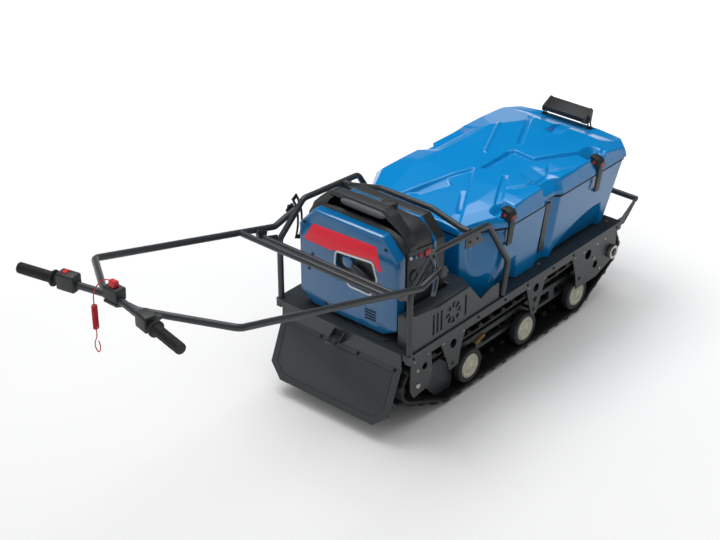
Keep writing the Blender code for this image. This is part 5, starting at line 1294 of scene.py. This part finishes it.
put("lamp_bolts", both_sides(stack(foot_bolt, side_bolt)), dark_bolt_and_slot_shade, "lid")

# %% [markdown]
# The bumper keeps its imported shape, with edges rounded, and a plug closes each end of its tube.

# %% Bumper
BUMPER = np.array([1.245, 0.330])
dressed("bumper", powder_coat, edge=0.0009)
cap_end = lathe([(0.0, 0.2606), (0.0070, 0.2606), (0.0085, 0.2600), (0.0085, 0.2560), (0.0, 0.2560)], "Y",
                (BUMPER[0], 0, BUMPER[1]), sides=24)
put("tube_plugs", both_sides(cap_end), abs_black, "chassis")

# %% [markdown]
# ## Plates, springs and bolts
#
# A small plate with two bolts hangs under the roll frame's tube on each side. The springs of the
# carriage arms are helices between two points, and their yellow zinc shows over the first two wheels.

# %% Tube plates and springs
PLATE_FACE = 0.2605
gusset = soften([(0.262, 0.542), (0.352, 0.534), (0.334, 0.5755), (0.262, 0.5795)], 0.004, 4)
bolt_row = copies(bolt(0.0040, "Y"), [(0.285, PLATE_FACE, 0.558), (0.322, PLATE_FACE, 0.555)])
put("tube_plates", both_sides(slab(gusset, 0.2570, PLATE_FACE, "Y", 0.0008)), powder_coat, "chassis")
put("tube_plate_bolts", both_sides(bolt_row), dark_bolt_and_slot_shade, "chassis")


def spring(start, end, radius=0.0075, wire=0.0014, turns=9):
    """A coil between two points (x, z): line + radius * (cos a across, sin a square to the line)."""
    start, end = np.array(start), np.array(end)
    t = np.linspace(0, 1, turns * 16 + 1)
    run = (end - start) / np.linalg.norm(end - start)
    angle = 2 * np.pi * turns * t
    place = start + (end - start) * t[:, None] + radius * np.sin(angle)[:, None] * np.array([-run[1], run[0]])
    return tube(np.stack([place[:, 0], radius * np.cos(angle), place[:, 1]], 1), wire,
                up=(run[0], 0, run[1]), sides=8)


springs = stack(*(moved(spring((x, 0.150), (x + 0.046, 0.163)), (0, 0.2330, 0)) for x in (0.366, 0.660)))
put("arm_springs", both_sides(springs), gold_zinc, "chassis")

# %% [markdown]
# The plates' own bolts come last. Each row is a list of (x, z) places on one side plane, and one
# call puts it on both sides.

# %% Frame bolts
HANGER_FACE = 0.2575
RAIL_FACE = 0.2715
side_head = bolt(0.0050, "Y")
hanger_bolts = np.array([(0.170, 0.252), (0.270, 0.252), (0.615, 0.252), (0.705, 0.252), (0.880, 0.252),
                         (0.932, 0.252), (1.012, 0.250), (1.060, 0.250), (0.996, 0.200), (1.035, 0.146),
                         (0.030, 0.252), (0.096, 0.252), (0.046, 0.212)])
rows = np.insert(hanger_bolts, 1, HANGER_FACE, axis=1)
put("hanger_bolts", both_sides(copies(side_head, rows)), bright_zinc, "chassis")
rail_bolts = np.array([(0.010, 0.277), (0.330, 0.277), (0.470, 0.277), (0.590, 0.277), (0.735, 0.277),
                       (0.850, 0.277), (1.110, 0.277)])
rows = np.insert(rail_bolts, 1, RAIL_FACE, axis=1)
put("rail_bolts", both_sides(copies(bolt(0.0042, "Y"), rows)), dark_bolt_and_slot_shade, "chassis")
deck_bolts = np.array([(0.705, 0.2315, 0.292), (1.100, 0.2350, 0.292), (0.300, 0.2400, 0.292)])
put("deck_bolts", both_sides(copies(bolt(0.0050, "Z"), deck_bolts)), bright_zinc, "chassis")
print("bolts:", 2 * (len(hanger_bolts) + len(rail_bolts) + len(deck_bolts)))

# %% [markdown]
# ## Floor and light
#
# The camera and reflections see a white floor that takes the tug's shadow. A glow is added to it,
# which grows with the distance from a point under the handle's left arm, in a near and a far step,
# so the far floor ends in plain white. Rays that only carry light meet a grey floor, which keeps the
# underside darker.

# %% Floor
FLOOR_HALF = 9.0
GLOW_FROM = (-0.5, 0.3, 0.0)

floor_mesh = bpy.data.meshes.new("floor")
floor_mesh.from_pydata([(x, y, 0) for x, y in rectangle(FLOOR_HALF, FLOOR_HALF)], [], [(0, 1, 2, 3)])
floor = bpy.data.objects.new("floor", floor_mesh)
bpy.context.scene.collection.objects.link(floor)


def seen_directly(tree):
    """1 for rays of the camera, of reflections and through glass, 0 for the rays that only carry light."""
    ray = add(tree, "ShaderNodeLightPath")
    total = ray.outputs["Is Camera Ray"]
    for kind in ("Is Glossy Ray", "Is Transmission Ray"):
        total = add(tree, "ShaderNodeMath", {"operation": "ADD", "use_clamp": True},
                    {0: total, 1: ray.outputs[kind]})
        total = total.outputs[0]
    return total


floor_paint = bpy.data.materials.new("matt_studio_floor")
floor_paint.use_nodes = True
tree = floor_paint.node_tree
tree.nodes.clear()
plain = add(tree, "ShaderNodeBsdfDiffuse", {"Color": linear("#A8A8A8")})
white = add(tree, "ShaderNodeBsdfDiffuse", {"Color": (0.94, 0.94, 0.94, 1.0)})
place = add(tree, "ShaderNodeTexCoord").outputs["Object"]
far = add(tree, "ShaderNodeVectorMath", {"operation": "DISTANCE", 1: GLOW_FROM}, {0: place})
near_glow, far_glow = (
    add(tree, "ShaderNodeMapRange", {"From Min": start, "From Max": end, "To Min": 0.0, "To Max": strength},
        {"Value": far.outputs["Value"]})
    for start, end, strength in ((0.9, 3.2, 0.34), (3.2, 6.0, 0.60)))
glow = add(tree, "ShaderNodeMath", {"operation": "ADD"},
           {0: near_glow.outputs["Result"], 1: far_glow.outputs["Result"]})
lit = add(tree, "ShaderNodeEmission", {"Color": (1.0, 1.0, 1.0, 1.0)}, {"Strength": glow.outputs[0]})
seen = add(tree, "ShaderNodeAddShader", {}, {0: white.outputs[0], 1: lit.outputs[0]})
mixed = add(tree, "ShaderNodeMixShader", {},
            {0: seen_directly(tree), 1: plain.outputs[0], 2: seen.outputs[0]})
add(tree, "ShaderNodeOutputMaterial", {}, {0: mixed.outputs[0]})
floor_mesh.materials.append(floor_paint)

# %% [markdown]
# The world is white at the horizon and dark overhead for those same rays, so glossy tops don't turn
# pale, and a weak even light for the others. The lamps are large and soft. The key hangs above the
# tug on its left, so the lid is bright and the right side greyer. A wide lamp is overhead, a narrow
# one in front gives the tilted facets their tone, and a weak one behind fills the rear.

# %% World and lamps
world = bpy.data.worlds.new("studio")
bpy.context.scene.world = world
world.use_nodes = True
tree = world.node_tree
tree.nodes.clear()
heading = add(tree, "ShaderNodeSeparateXYZ", {}, {0: add(tree, "ShaderNodeTexCoord").outputs["Generated"]})
ceiling = add(tree, "ShaderNodeMapRange", {"From Min": 0.02, "From Max": 0.16, "To Min": 1.0, "To Max": 0.0},
              {"Value": heading.outputs["Z"]})
ambient = add(tree, "ShaderNodeBackground", {"Color": linear("#F7F8F9"), "Strength": 0.38})
shown = add(tree, "ShaderNodeBackground", {"Color": (1.0, 1.0, 1.0, 1.0)},
            {"Strength": ceiling.outputs["Result"]})
mixed = add(tree, "ShaderNodeMixShader", {},
            {0: seen_directly(tree), 1: ambient.outputs[0], 2: shown.outputs[0]})
add(tree, "ShaderNodeOutputWorld", {}, {0: mixed.outputs[0]})


def softbox(name, place, target, size, watts):
    """A rectangular lamp at a place, its face square to the line from the target."""
    lamp = bpy.data.lights.new(name, "AREA")
    lamp.shape = "RECTANGLE"
    lamp.size, lamp.size_y = size
    lamp.energy = watts
    thing = bpy.data.objects.new(name, lamp)
    bpy.context.scene.collection.objects.link(thing)
    thing.location = place
    away = np.subtract(place, target)
    away /= np.linalg.norm(away)
    thing.rotation_euler = (np.arccos(away[2]), 0.0, np.arctan2(away[1], away[0]) + np.pi / 2)


softbox("key", (0.1, 1.5, 4.1), (0.1, 0.0, 0.3), (2.0, 2.0), 66)
softbox("top", (-0.3, 0.1, 4.4), (0.1, 0.0, 0.3), (4.4, 4.4), 64)
softbox("front", (2.3, 1.2, 4.0), (0.4, 0.0, 0.5), (2.4, 1.0), 24)
softbox("fill", (-3.6, -0.2, 2.4), (0.0, 0.0, 0.4), (2.4, 2.4), 15)
bpy.context.scene.view_settings.view_transform = "Standard"
print("lamps:", len(bpy.data.lights))
